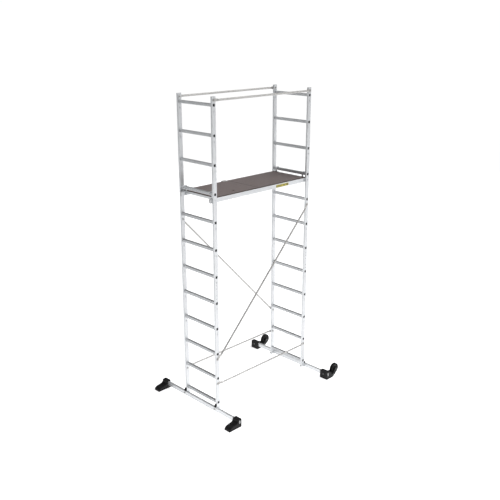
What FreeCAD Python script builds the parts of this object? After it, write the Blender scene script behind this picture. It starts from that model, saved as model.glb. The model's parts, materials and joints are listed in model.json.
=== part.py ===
import FreeCAD, Part
import os
import Sketcher
from FreeCAD import Placement, Rotation, Vector

# Free-standing tower scaffold: two ladder frames, each in a lower and an upper section, joined by
# braces and guardrails, with a decked platform, base beams, two shoes and two tilt-and-roll wheels.
# +X runs from the shoe end to the wheel end, +Y to the back, +Z up. The origin is on the ground
# in the middle of the whole footprint.

SIZES = [
    # ladder frames
    ("ladder_spacing", 1354, "between the middle planes of the two ladders"),
    ("ladder_width", 509, "over the outer faces of the stiles"),
    ("rung_pitch", 280, "between neighbouring rungs"),
    ("first_rung_height", 125, "centre of the lowest rung above the ground"),
    ("lower_rung_count", 5, "rungs in a lower section"),
    ("upper_rung_count", 7, "rungs in an upper section"),
    ("stile_depth", 48, "stile tube along X"),
    ("stile_thickness", 20, "stile tube along Y"),
    ("stile_wall", 1.8, "wall of the stile tube"),
    ("stile_foot_height", 40, "foot of the stile above the ground"),
    ("stile_head", 79, "top of the stile above the top rung"),
    ("joint_above_rung", 120, "section joint above the rung below it"),
    ("rung_size", 28, "square rung tube"),
    ("rung_wall", 1.8, "wall of the rung tube"),
    ("spigot_reach", 88, "how far a joint spigot goes into each section"),
    ("spigot_wall", 1.5, "wall of the joint spigot"),
    # braces, guardrails and their bolts
    ("brace_hole_drop", 58, "bolt hole below the centre of its rung"),
    ("bolt_hole_diameter", 10.4, "hole in every piece that a bolt passes"),
    ("guard_hole_rise", 46, "guardrail bolt above the top rung"),
    ("brace_diameter", 19, "round brace tube"),
    ("guardrail_diameter", 21, "round guardrail tube"),
    ("brace_wall", 1.5, "wall of the brace tubes"),
    ("flat_thickness", 4, "thickness of a flattened tube end"),
    ("flat_width", 27, "width of a flattened tube end"),
    ("flat_length", 46, "length of a flattened tube end"),
    ("flat_neck", 34, "length of the change from round to flat"),
    ("flat_margin", 16, "tube end beyond its bolt"),
    ("diagonal_low_rung", 3, "rung above the low end of a diagonal brace"),
    ("diagonal_high_rung", 8, "rung above the high end of a diagonal brace"),
    ("strut_rung", 2, "rung above a horizontal strut"),
    ("bolt_diameter", 10, "shank of the brace and base bolts"),
    ("bolt_head_circle", 18, "hexagon head over its corners"),
    ("bolt_head_height", 6, "head and nut height"),
    # base beams and what sits on them
    ("beam_width", 25, "base beam along X"),
    ("beam_depth", 45, "base beam along Z"),
    ("beam_wall", 2.5, "wall of the base beam"),
    ("beam_length", 1230, "base beam along Y"),
    ("beam_underside", 37, "underside of the base beam above the ground"),
    ("locator_rise", 30, "height of the locating wedge"),
    ("locator_tip", 7, "thickness of the wedge at its top"),
    # shoes and wheel brackets
    ("foot_heel", 26, "heel face from the middle of the beam"),
    ("foot_shoulder", 25, "front of the top face from the middle of the beam"),
    ("foot_height", 92, "top of a shoe or bracket block"),
    ("foot_round", 4, "rounding of the moulded edges"),
    ("shoe_reach", 178, "toe of the shoe from the middle plane of its ladder"),
    ("shoe_width", 82, "shoe along Y"),
    ("foot_screw_stop", 5, "end of the foot screw short of the block's front"),
    ("throat_lean", 2, "lean of the shoe's front face above the instep"),
    ("throat_rise", 12, "foot of the front face above the instep"),
    ("instep_height", 52, "height of the instep"),
    ("instep_reach", 22, "instep in front of the top face"),
    ("toe_height", 38, "height of the toe"),
    ("toe_crown_rise", 5, "back of the toe above its front"),
    ("toe_crown_length", 26, "top of the toe"),
    ("toe_slope", 26, "length of the toe's rounded front"),
    ("toe_nose", 4, "rounding at the tip of the toe"),
    ("bracket_width", 106, "wheel bracket block along Y"),
    ("bracket_skirt", 62, "far end of the block from the middle of the beam"),
    ("fork_width", 64, "wheel fork over its cheeks"),
    ("bracket_front_height", 52, "front face of the bracket block"),
    ("bracket_bevel", 8, "short bevel at the front of the block's top"),
    ("bracket_bevel_drop", 12, "short bevel at the front of the block's top"),
    ("fork_valley", 38, "lowest point of the fork's upper edge"),
    ("fork_valley_near", 76, "start of the valley before the axle"),
    ("fork_valley_middle", 52, "lowest point of the valley before the axle"),
    ("fork_valley_far", 36, "end of the valley before the axle"),
    ("fork_valley_near_rise", 4, "start of the valley above its lowest point"),
    ("fork_valley_far_rise", 8, "end of the valley above its lowest point"),
    ("fork_root_drop", 16, "fork below the block's top where it leaves it"),
    ("fork_heel", 33, "end of the fork's sole before the axle"),
    ("fork_heel_knee", 16, "first knee of the fork's underside before the axle"),
    ("fork_heel_knee_rise", 4, "first knee above the ground"),
    ("fork_underside", 2, "second knee of the fork's underside before the axle"),
    ("fork_underside_rise", 20, "second knee above the ground"),
    ("fork_boss_blend", 4, "where the fork's outline meets its round end"),
    ("fork_boss_blend_rise", 12, "where the fork's outline meets its round end"),
    ("fork_boss_diameter", 44, "round end of the fork about the axle"),
    ("wheel_offset", 201, "axle from the middle plane of its ladder"),
    ("wheel_diameter", 125, "tyre"),
    ("wheel_width", 35, "tyre"),
    ("wheel_lift", 3, "tyre above the ground while the tower stands"),
    ("wheel_gap", 1.5, "between the tyre and a cheek"),
    ("tyre_shoulder", 7, "rounded shoulder of the tyre, in radius"),
    ("tyre_crown", 9, "rounded shoulder of the tyre, in width"),
    ("tyre_knee", 2, "middle of the shoulder below the tread"),
    ("tyre_knee_width", 3, "middle of the shoulder from the side"),
    ("tyre_bead", 5, "bead of the tyre beside the rim"),
    ("tyre_bead_inset", 2, "bead behind the side of the tyre"),
    ("rim_diameter", 86, "seat of the tyre on the hub"),
    ("hub_width", 36, "hub over its bearing faces"),
    ("hub_boss_diameter", 30, "hub boss"),
    ("hub_web_recess", 8, "depth of the recess beside the hub web"),
    ("hub_rim_wall", 5, "wall of the hub under the tyre"),
    ("hub_window_diameter", 10, "holes through the hub web"),
    ("hub_window_count", 6, "holes through the hub web"),
    ("axle_diameter", 12, "wheel axle"),
    ("axle_clearance", 0.05, "radial, hub on axle"),
    ("axle_head_diameter", 20, "axle head"),
    ("axle_head_height", 4, "axle head"),
    # platform
    ("deck_rung", 9, "rung that carries the platform"),
    ("deck_drop", 31, "deck surface below the centre of that rung"),
    ("deck_thickness", 9.5, "deck board"),
    ("deck_end_gap", 7, "between the deck board and the rung"),
    ("deck_side_gap", 0.5, "between the deck board and a stile"),
    ("platform_rail_width", 30, "side rail along Y"),
    ("platform_rail_depth", 45, "side rail along Z"),
    ("platform_rail_wall", 2, "wall of the side rail"),
    ("platform_rail_reach", 38, "side rail beyond the middle plane of the ladder"),
    ("cross_beam_width", 40, "cross beam along X"),
    ("cross_beam_depth", 25, "cross beam along Z"),
    ("cross_beam_wall", 2, "wall of the cross beam"),
    ("cross_beam_bay", 348, "between neighbouring cross beams under the fixed deck"),
    ("hatch_length", 560, "hatch along X"),
    ("hatch_inset", 34, "end strip between the deck end and the hatch"),
    ("hatch_gap", 3, "gap round the hatch board"),
    ("hatch_grip_diameter", 34, "grip hole in the hatch"),
    ("hatch_grip_inset", 84, "grip hole from the front edge of the hatch"),
    ("claw_thickness", 6, "claw plate"),
    ("claw_width", 20, "claw along Y"),
    ("claw_nose", 24, "how far the claw's nose reaches down the rung"),
    ("claw_root", 60, "length of the claw's flange on the side rail"),
    # hatch hinges
    ("hinge_inset", 50, "middle of a hinge from the end of the hatch"),
    ("hinge_length", 60, "hinge along X"),
    ("hinge_tongue", 20, "moving knuckle along X"),
    ("hinge_leaf", 1.5, "leaf thickness"),
    ("hinge_leaf_width", 32, "moving leaf along Y"),
    ("hinge_leaf_drop", 30, "fixed leaf along Z"),
    ("hinge_leaf_setback", 3, "top of the fixed leaf below the deck surface"),
    ("hinge_leaf_end", 2, "moving leaf from the edge of the deck"),
    ("hinge_crank", 0.4, "step of the fixed leaf towards its knuckles"),
    ("hinge_barrel_diameter", 8, "knuckle"),
    ("hinge_barrel_offset", 4.4, "pin behind the edge of the deck"),
    ("hinge_barrel_rise", 2.5, "pin above the deck surface"),
    ("hinge_pin_diameter", 4, "hinge pin"),
    ("hinge_clearance", 0.05, "radial, moving knuckle on pin"),
    ("hinge_gap", 0.5, "axial, between knuckles"),
]

doc = FreeCAD.newDocument("tower_scaffold")
sheet = doc.addObject("Spreadsheet::Sheet", "sizes")
for row, (alias, number, note) in enumerate(SIZES, start=1):
    sheet.set(f"A{row}", str(number))
    sheet.set(f"B{row}", note)
    sheet.setAlias(f"A{row}", alias)
doc.recompute()

SHOE, WHEEL = -1, 1  # ends of the tower along X
FRONT, BACK = -1, 1  # sides of the tower along Y
END_NAME = {SHOE: "shoe_end", WHEEL: "wheel_end"}
SIDE_NAME = {FRONT: "front", BACK: "back"}
ENDS = (SHOE, WHEEL)
SIDES = (FRONT, BACK)
NODES = []

# turns that lay a piece built along local +Z along +X or +Y
UPRIGHT = Rotation()
ALONG_X = Rotation(Vector(0, 1, 0), 90)
ALONG_Y = Rotation(Vector(1, 0, 0), -90)


# ---------------------------------------------------------------- helpers

def value(expression):
    """Work out an expression on the sheet as a plain number."""
    result = sheet.evalExpression(expression)
    return float(getattr(result, "Value", result))


def bind(item, **expressions):
    """Tie properties of an object to expressions on the sheet."""
    for name, expression in expressions.items():
        item.setExpression(name, expression)
    return item


def place(item, x="0", y="0", z="0", rotation=UPRIGHT):
    """Give an object its rotation and tie its position to the sheet."""
    item.Placement = Placement(Vector(value(x), value(y), value(z)), rotation)
    for axis, expression in zip("xyz", (x, y, z)):
        item.setExpression(f"Placement.Base.{axis}", expression)
    return item


def node(item, name):
    """Name an object as a sub-part that is written out."""
    item.Label = name
    NODES.append(item)
    return item


def block(length, width, height, x, y, z):
    """Box with its lowest corner at x, y, z."""
    return place(bind(doc.addObject("Part::Box", "block"), Length=length, Width=width,
                      Height=height), x, y, z)


def rod(diameter, length, x, y, z, rotation):
    """Round bar from x, y, z along the rotated +Z."""
    bar = bind(doc.addObject("Part::Cylinder", "rod"), Radius=f"({diameter}) / 2", Height=length)
    return place(bar, x, y, z, rotation)


def fuse(*items):
    """One solid from several."""
    joined = doc.addObject("Part::MultiFuse", "joined")
    joined.Shapes = list(items)
    return joined


def cut(base, *tools):
    """Base less each tool in turn."""
    for tool in tools:
        less = doc.addObject("Part::Cut", "less")
        less.Base = base
        less.Tool = tool
        base = less
    return base


def group(items):
    """Like pieces kept as separate solids under one name."""
    gathered = doc.addObject("Part::Compound", "group")
    gathered.Links = list(items)
    return gathered


def hollow_block(length, width, height, wall, x, y, z, axis):
    """Rectangular tube, open at both ends along the given axis."""
    sizes = [length, width, height]
    corner = [x, y, z]
    inner_sizes = [s if i == axis else f"{s} - 2 * {wall}" for i, s in enumerate(sizes)]
    inner_corner = [c if i == axis else f"{c} + {wall}" for i, c in enumerate(corner)]
    return cut(block(*sizes, *corner), block(*inner_sizes, *inner_corner))


def new_body(name, x="0", y="0", z="0", rotation=UPRIGHT):
    """PartDesign body standing at x, y, z."""
    return place(doc.addObject("PartDesign::Body", name), x, y, z, rotation)


def new_sketch(body, role):
    """Sketch on one of the body's own origin planes."""
    sketch = body.newObject("Sketcher::SketchObject", "sketch")
    plane = next(item for item in body.Origin.OriginFeatures if item.Role == role)
    sketch.AttachmentSupport = [(plane, "")]
    sketch.MapMode = "FlatFace"
    return sketch


def pin_point(sketch, geometry, position, x, y):
    """Hold a point of a sketch at x, y."""
    for kind, expression in (("DistanceX", x), ("DistanceY", y)):
        held = Sketcher.Constraint(kind, geometry, position, value(expression))
        number = sketch.addConstraint(held)
        sketch.setExpression(f"Constraints[{number}]", expression)


def outline(sketch, points):
    """Closed outline of straight edges through the points."""
    first = sketch.GeometryCount
    corners = [Vector(value(x), value(y), 0) for x, y in points]
    count = len(points)
    for index in range(count):
        edge = Part.LineSegment(corners[index], corners[(index + 1) % count])
        sketch.addGeometry(edge)
    for index in range(count):
        following = first + (index + 1) % count
        sketch.addConstraint(Sketcher.Constraint("Coincident", first + index, 2, following, 1))
    for index, (x, y) in enumerate(points):
        pin_point(sketch, first + index, 1, x, y)


def rectangle(sketch, width, height, x="0", y="0"):
    """Rectangle centred on x, y."""
    left, right = f"{x} - ({width}) / 2", f"{x} + ({width}) / 2"
    low, high = f"{y} - ({height}) / 2", f"{y} + ({height}) / 2"
    outline(sketch, [(left, low), (right, low), (right, high), (left, high)])


def circle(sketch, diameter, x="0", y="0"):
    """Circle centred on x, y."""
    centre = Vector(value(x), value(y), 0)
    radius = value(diameter) / 2
    number = sketch.addGeometry(Part.Circle(centre, Vector(0, 0, 1), radius))
    pin_point(sketch, number, 3, x, y)
    size = sketch.addConstraint(Sketcher.Constraint("Diameter", number, 2 * radius))
    sketch.setExpression(f"Constraints[{size}]", diameter)


def pad(body, sketch, length, symmetric=False):
    """Add the sketch's section to the body."""
    feature = body.newObject("PartDesign::Pad", "pad")
    feature.Profile = sketch
    if symmetric:
        feature.SideType = "Symmetric"
    return bind(feature, Length=length)


def pocket(body, sketch, length=None):
    """Cut the sketch's section to both sides of its plane, right through unless given a length."""
    doc.recompute()
    before = body.Shape.Volume
    feature = body.newObject("PartDesign::Pocket", "pocket")
    feature.Profile = sketch
    feature.SideType = "Symmetric"
    if length:
        bind(feature, Length=length)
    else:
        feature.Type = "ThroughAll"
    doc.recompute()
    if not body.Shape.Volume < before:
        raise RuntimeError(f"{body.Name}: a pocket cut nothing")
    return feature


def repeat(body, feature, sketch, count, spacing):
    """Repeat a feature along its sketch's vertical axis."""
    pattern = body.newObject("PartDesign::LinearPattern", "repeat")
    pattern.Originals = [feature]
    pattern.Direction = (sketch, ["V_Axis"])
    pattern.Mode = "Spacing"
    bind(pattern, Offset=spacing, Occurrences=count)
    body.Tip = pattern
    return pattern


def round_edges(body, radius, wanted):
    """Round the edges of a body whose middle point and edge pass a test."""
    doc.recompute()
    base = body.Tip
    names = [f"Edge{number}" for number, edge in enumerate(base.Shape.Edges, start=1)
             if wanted(edge)]
    feature = body.newObject("PartDesign::Fillet", "round")
    feature.Base = (base, names)
    return bind(feature, Radius=radius)


# ---------------------------------------------------------------- shared places

# middle plane between the ladders, set so that the footprint is centred on the origin
MIDDLE = "((sizes.shoe_reach - sizes.wheel_offset - sizes.wheel_diameter / 2) / 2)"
STILE_Y = "((sizes.ladder_width - sizes.stile_thickness) / 2)"
JOINT_Z = ("(sizes.first_rung_height + (sizes.lower_rung_count - 1) * sizes.rung_pitch"
           " + sizes.joint_above_rung)")
TOP_RUNG = ("(sizes.first_rung_height + (sizes.lower_rung_count + sizes.upper_rung_count - 1)"
            " * sizes.rung_pitch)")
BEAM_OFFSET = "((sizes.stile_depth + sizes.beam_width) / 2)"
BEAM_Z = "(sizes.beam_underside + sizes.beam_depth / 2)"
DECK_TOP = ("(sizes.first_rung_height + (sizes.deck_rung - 1) * sizes.rung_pitch"
            " - sizes.deck_drop)")
DECK_UNDERSIDE = f"({DECK_TOP} - sizes.deck_thickness)"
DECK_END = "(sizes.ladder_spacing / 2 - sizes.rung_size / 2 - sizes.deck_end_gap)"
DECK_HALF = "(sizes.ladder_width / 2 - sizes.stile_thickness - sizes.deck_side_gap)"
HATCH_START = f"({MIDDLE} - {DECK_END} + sizes.hatch_inset)"
HATCH_END = f"({HATCH_START} + sizes.hatch_length)"


def ladder_x(end):
    """Middle plane of a ladder."""
    return f"({MIDDLE} + {end} * sizes.ladder_spacing / 2)"


def beam_x(end):
    """Middle of a base beam, which lies against the outer faces of the stiles."""
    return f"({ladder_x(end)} + {end} * {BEAM_OFFSET})"


def rung_z(number):
    """Centre of a rung, counted from the bottom."""
    return f"(sizes.first_rung_height + ({number} - 1) * sizes.rung_pitch)"


def brace_hole_z(number):
    """Bolt hole under a rung."""
    return f"({rung_z(number)} - sizes.brace_hole_drop)"


def foot_y(side, width):
    """Middle of a shoe or bracket whose outer face is flush with the end of the beam."""
    return f"({side} * (sizes.beam_length - {width}) / 2)"


# ---------------------------------------------------------------- ladder frames

def stile(end, side, level, foot, head, rungs, first_rung):
    """Rectangular tube with a square hole for each rung and a bolt hole below each."""
    y = f"({side} * {STILE_Y})"
    body = new_body(f"stile_{level}_{END_NAME[end]}_{SIDE_NAME[side]}", ladder_x(end), y, foot)
    section = new_sketch(body, "XY_Plane")
    rectangle(section, "sizes.stile_depth", "sizes.stile_thickness")
    rectangle(section, "sizes.stile_depth - 2 * sizes.stile_wall",
              "sizes.stile_thickness - 2 * sizes.stile_wall")
    pad(body, section, f"{head} - {foot}")
    rung_hole = new_sketch(body, "XZ_Plane")
    rectangle(rung_hole, "sizes.rung_size", "sizes.rung_size", "0", f"({first_rung} - {foot})")
    repeat(body, pocket(body, rung_hole), rung_hole, rungs, "sizes.rung_pitch")
    bolt_hole = new_sketch(body, "XZ_Plane")
    circle(bolt_hole, "sizes.bolt_hole_diameter", "0",
           f"({first_rung} - {foot} - sizes.brace_hole_drop)")
    repeat(body, pocket(body, bolt_hole), bolt_hole, rungs, "sizes.rung_pitch")
    return body


for end in ENDS:
    for side in SIDES:
        lower = stile(end, side, "lower", "sizes.stile_foot_height", JOINT_Z,
                      "sizes.lower_rung_count", rung_z(1))
        foot_bolt_hole = new_sketch(lower, "YZ_Plane")
        circle(foot_bolt_hole, "sizes.bolt_hole_diameter", "0",
               f"({BEAM_Z} - sizes.stile_foot_height)")
        pocket(lower, foot_bolt_hole)
        node(lower, f"lower_stile_{END_NAME[end]}_{SIDE_NAME[side]}")
        upper = stile(end, side, "upper", JOINT_Z, f"({TOP_RUNG} + sizes.stile_head)",
                      "sizes.upper_rung_count", rung_z("(sizes.lower_rung_count + 1)"))
        guard_hole = new_sketch(upper, "XZ_Plane")
        circle(guard_hole, "sizes.bolt_hole_diameter", "0",
               f"({TOP_RUNG} + sizes.guard_hole_rise - {JOINT_Z})")
        pocket(upper, guard_hole)
        node(upper, f"upper_stile_{END_NAME[end]}_{SIDE_NAME[side]}")

RUNG_TOTAL = round(value("sizes.lower_rung_count + sizes.upper_rung_count"))
for end in ENDS:
    for number in range(1, RUNG_TOTAL + 1):
        rung = new_body(f"rung_{number}", ladder_x(end), "-sizes.ladder_width / 2",
                        rung_z(number), ALONG_Y)
        section = new_sketch(rung, "XY_Plane")
        rectangle(section, "sizes.rung_size", "sizes.rung_size")
        rectangle(section, "sizes.rung_size - 2 * sizes.rung_wall",
                  "sizes.rung_size - 2 * sizes.rung_wall")
        pad(rung, section, "sizes.ladder_width")
        node(rung, f"rung_{END_NAME[end]}_{number:02d}")

SPIGOT_DEPTH = "(sizes.stile_depth - 2 * sizes.stile_wall)"
SPIGOT_THICKNESS = "(sizes.stile_thickness - 2 * sizes.stile_wall)"
node(group(
    hollow_block(SPIGOT_DEPTH, SPIGOT_THICKNESS, "2 * sizes.spigot_reach", "sizes.spigot_wall",
                 f"({ladder_x(end)} - {SPIGOT_DEPTH} / 2)",
                 f"({side} * {STILE_Y} - {SPIGOT_THICKNESS} / 2)",
                 f"({JOINT_Z} - sizes.spigot_reach)", axis=2)
    for end in ENDS for side in SIDES), "stile_joint_spigots")


# ---------------------------------------------------------------- braces and guardrails

def flattened_tube(name, side, diameter, low_z, high_z, rise_sign):
    """Round tube from stile to stile with flattened, drilled ends lying on the stile faces."""
    run = "sizes.ladder_spacing"
    rise = f"({rise_sign} * ({high_z} - {low_z}))"
    start_z = low_z if rise_sign > 0 else high_z
    lean = f"atan2({run}; {rise})"
    span = f"sqrt({run} ^ 2 + {rise} ^ 2)"
    full = f"({span} + 2 * sizes.flat_margin)"
    flat_y = f"({side} * sizes.flat_thickness / 2)"
    round_y = f"({side} * {diameter} / 2)"
    neck = "(sizes.flat_length + sizes.flat_neck)"

    def flat_section(z):
        oval = doc.addObject("Part::Ellipse", "flat_section")
        bind(oval, MajorRadius="sizes.flat_width / 2", MinorRadius="sizes.flat_thickness / 2")
        return place(oval, "0", flat_y, z)

    def round_section(z):
        ring = bind(doc.addObject("Part::Circle", "round_section"), Radius=f"{diameter} / 2")
        return place(ring, "0", round_y, z)

    skin = doc.addObject("Part::Loft", "tube")
    skin.Sections = [flat_section("0"), flat_section("sizes.flat_length"), round_section(neck),
                     round_section(f"({full} - {neck})"),
                     flat_section(f"({full} - sizes.flat_length)"), flat_section(full)]
    skin.Solid = True
    skin.Ruled = True
    reach = "2 * sizes.flat_thickness"
    drills = [rod("sizes.bolt_hole_diameter", reach, "0", f"({flat_y} - sizes.flat_thickness)",
                  z, ALONG_Y) for z in ("sizes.flat_margin", f"({full} - sizes.flat_margin)")]
    bore = rod(f"({diameter} - 2 * sizes.brace_wall)", f"({full} - 2 * {neck})", "0", round_y,
               neck, UPRIGHT)
    piece = cut(skin, *drills, bore)
    start = ladder_x(SHOE)
    place(piece, f"({start} - sizes.flat_margin * sin({lean}))",
          f"({side} * sizes.ladder_width / 2)",
          f"({start_z} - sizes.flat_margin * cos({lean}))",
          Rotation(Vector(0, 1, 0), value(lean)))
    piece.setExpression("Placement.Rotation.Angle", lean)
    return node(piece, name)


DIAGONAL_LOW = brace_hole_z("sizes.diagonal_low_rung")
DIAGONAL_HIGH = brace_hole_z("sizes.diagonal_high_rung")
STRUT_Z = brace_hole_z("sizes.strut_rung")
GUARD_Z = f"({TOP_RUNG} + sizes.guard_hole_rise)"
for side in SIDES:
    where = SIDE_NAME[side]
    climb = 1 if side == FRONT else -1
    flattened_tube(f"guardrail_{where}", side, "sizes.guardrail_diameter", GUARD_Z, GUARD_Z, 1)
    flattened_tube(f"diagonal_brace_{where}", side, "sizes.brace_diameter", DIAGONAL_LOW,
                   DIAGONAL_HIGH, climb)
    flattened_tube(f"horizontal_brace_{where}", side, "sizes.brace_diameter", STRUT_Z, STRUT_Z, 1)


def bolt(x, y, z, grip, along, direction, nut=True):
    """Hexagon bolt whose head bears at x, y, z and whose shank runs through the grip."""
    turn = {"x": ALONG_X, "y": ALONG_Y}[along]
    if direction < 0:
        turn = turn.multiply(Rotation(Vector(1, 0, 0), 180))
    place_at = {"x": 0, "y": 1}[along]

    def shifted(distance):
        spot = [x, y, z]
        spot[place_at] = f"({spot[place_at]} + {direction} * ({distance}))"
        return spot

    pieces = []
    for distance in ["-sizes.bolt_head_height"] + ([grip] if nut else []):
        hexagon = doc.addObject("Part::Prism", "hexagon")
        hexagon.Polygon = 6
        bind(hexagon, Circumradius="sizes.bolt_head_circle / 2", Height="sizes.bolt_head_height")
        pieces.append(place(hexagon, *shifted(distance), turn))
    length = f"{grip} + sizes.bolt_head_height" if nut else grip
    pieces.append(rod("sizes.bolt_diameter", length, *shifted("0"), turn))
    return fuse(*pieces)


FLAT_GRIP = "(sizes.flat_thickness + sizes.stile_thickness)"
BRACE_ENDS = {FRONT: ((SHOE, DIAGONAL_LOW), (WHEEL, DIAGONAL_HIGH)),
              BACK: ((SHOE, DIAGONAL_HIGH), (WHEEL, DIAGONAL_LOW))}
brace_bolts = []
for side in SIDES:
    level_ends = [(end, z) for end in ENDS for z in (STRUT_Z, GUARD_Z)]
    for end, z in list(BRACE_ENDS[side]) + level_ends:
        face = f"({side} * (sizes.ladder_width / 2 + sizes.flat_thickness))"
        brace_bolts.append(bolt(ladder_x(end), face, z, FLAT_GRIP, "y", -side))
node(group(brace_bolts), "brace_bolts")


# ---------------------------------------------------------------- base beams

for end in ENDS:
    beam = new_body(f"base_beam_{end + 1}", beam_x(end), "-sizes.beam_length / 2", BEAM_Z, ALONG_Y)
    section = new_sketch(beam, "XY_Plane")
    rectangle(section, "sizes.beam_width", "sizes.beam_depth")
    rectangle(section, "sizes.beam_width - 2 * sizes.beam_wall",
              "sizes.beam_depth - 2 * sizes.beam_wall")
    pad(beam, section, "sizes.beam_length")
    foot_width = "sizes.shoe_width" if end == SHOE else "sizes.bracket_width"
    bolt_holes = new_sketch(beam, "YZ_Plane")
    for side in SIDES:
        for y in (f"({side} * {STILE_Y})", foot_y(side, foot_width)):
            circle(bolt_holes, "sizes.bolt_hole_diameter", "0", f"({y} + sizes.beam_length / 2)")
    pocket(beam, bolt_holes)
    node(beam, f"base_beam_{END_NAME[end]}")

FOOT_SCREW = "(sizes.foot_heel + sizes.foot_shoulder - sizes.foot_screw_stop)"
base_bolts = []
for end in ENDS:
    foot_width = "sizes.shoe_width" if end == SHOE else "sizes.bracket_width"
    outer_face = f"({beam_x(end)} + {end} * sizes.beam_width / 2)"
    heel_face = f"({beam_x(end)} - {end} * sizes.foot_heel)"
    for side in SIDES:
        base_bolts.append(bolt(outer_face, f"({side} * {STILE_Y})", BEAM_Z,
                               "(sizes.beam_width + sizes.stile_depth)", "x", -end))
        base_bolts.append(bolt(heel_face, foot_y(side, foot_width), BEAM_Z, FOOT_SCREW, "x", end,
                               nut=False))
node(group(base_bolts), "base_bolts")


def locator(end, side):
    """Wedge on top of the base beam that steadies the stile."""
    wedge = doc.addObject("Part::Wedge", "wedge")
    near, tip = ("0", "sizes.locator_tip") if end == WHEEL else (
        "(sizes.beam_width - sizes.locator_tip)", "sizes.beam_width")
    bind(wedge, Xmin="0", Xmax="sizes.beam_width", Ymin="0", Ymax="sizes.locator_rise",
         Zmin="0", Zmax="sizes.stile_thickness", X2min=near, X2max=tip, Z2min="0",
         Z2max="sizes.stile_thickness")
    return place(wedge, f"({beam_x(end)} - sizes.beam_width / 2)",
                 f"({side} * {STILE_Y} + sizes.stile_thickness / 2)",
                 "(sizes.beam_underside + sizes.beam_depth)", Rotation(Vector(1, 0, 0), 90))


node(group(locator(end, side) for end in ENDS for side in SIDES), "stile_locators")


# ---------------------------------------------------------------- shoes

def long_side_edge(width):
    """Test for the edges that run along Y from face to face, clear of the sole."""
    def wanted(edge):
        box = edge.BoundBox
        return box.YLength > 0.99 * width and box.ZMin > 1
    return wanted


for side in SIDES:
    shoe = new_body(f"shoe_{side + 1}", beam_x(SHOE), foot_y(side, "sizes.shoe_width"), "0")
    toe = f"(sizes.shoe_reach - {BEAM_OFFSET})"
    profile = new_sketch(shoe, "XZ_Plane")
    outline(profile, [
        ("sizes.foot_heel", "0"),
        ("sizes.foot_heel", "sizes.foot_height"),
        ("-sizes.foot_shoulder", "sizes.foot_height"),
        ("-sizes.foot_shoulder - sizes.throat_lean", "sizes.instep_height + sizes.throat_rise"),
        ("-sizes.foot_shoulder - sizes.instep_reach", "sizes.instep_height"),
        (f"-({toe} - sizes.toe_slope - sizes.toe_crown_length)",
         "sizes.toe_height + sizes.toe_crown_rise"),
        (f"-({toe} - sizes.toe_slope)", "sizes.toe_height"),
        (f"-({toe} - sizes.toe_nose)", "sizes.toe_height / 2"),
        (f"-{toe}", "sizes.toe_nose"),
        (f"-{toe}", "0")])
    pad(shoe, profile, "sizes.shoe_width", symmetric=True)
    round_edges(shoe, "sizes.foot_round", long_side_edge(value("sizes.shoe_width")))
    bore = new_sketch(shoe, "XZ_Plane")
    rectangle(bore, "sizes.beam_width", "sizes.beam_depth", "0", BEAM_Z)
    pocket(shoe, bore)
    screw_hole = new_sketch(shoe, "YZ_Plane")
    circle(screw_hole, "sizes.bolt_hole_diameter", "0", BEAM_Z)
    pocket(shoe, screw_hole)
    node(shoe, f"shoe_{SIDE_NAME[side]}")


# ---------------------------------------------------------------- wheel brackets and wheels

AXLE_X = f"({ladder_x(WHEEL)} + sizes.wheel_offset)"
AXLE_Z = "(sizes.wheel_diameter / 2 + sizes.wheel_lift)"
AXLE_REACH = f"(sizes.wheel_offset - {BEAM_OFFSET})"
WHEEL_SLOT = "(sizes.wheel_width + 2 * sizes.wheel_gap)"

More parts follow.
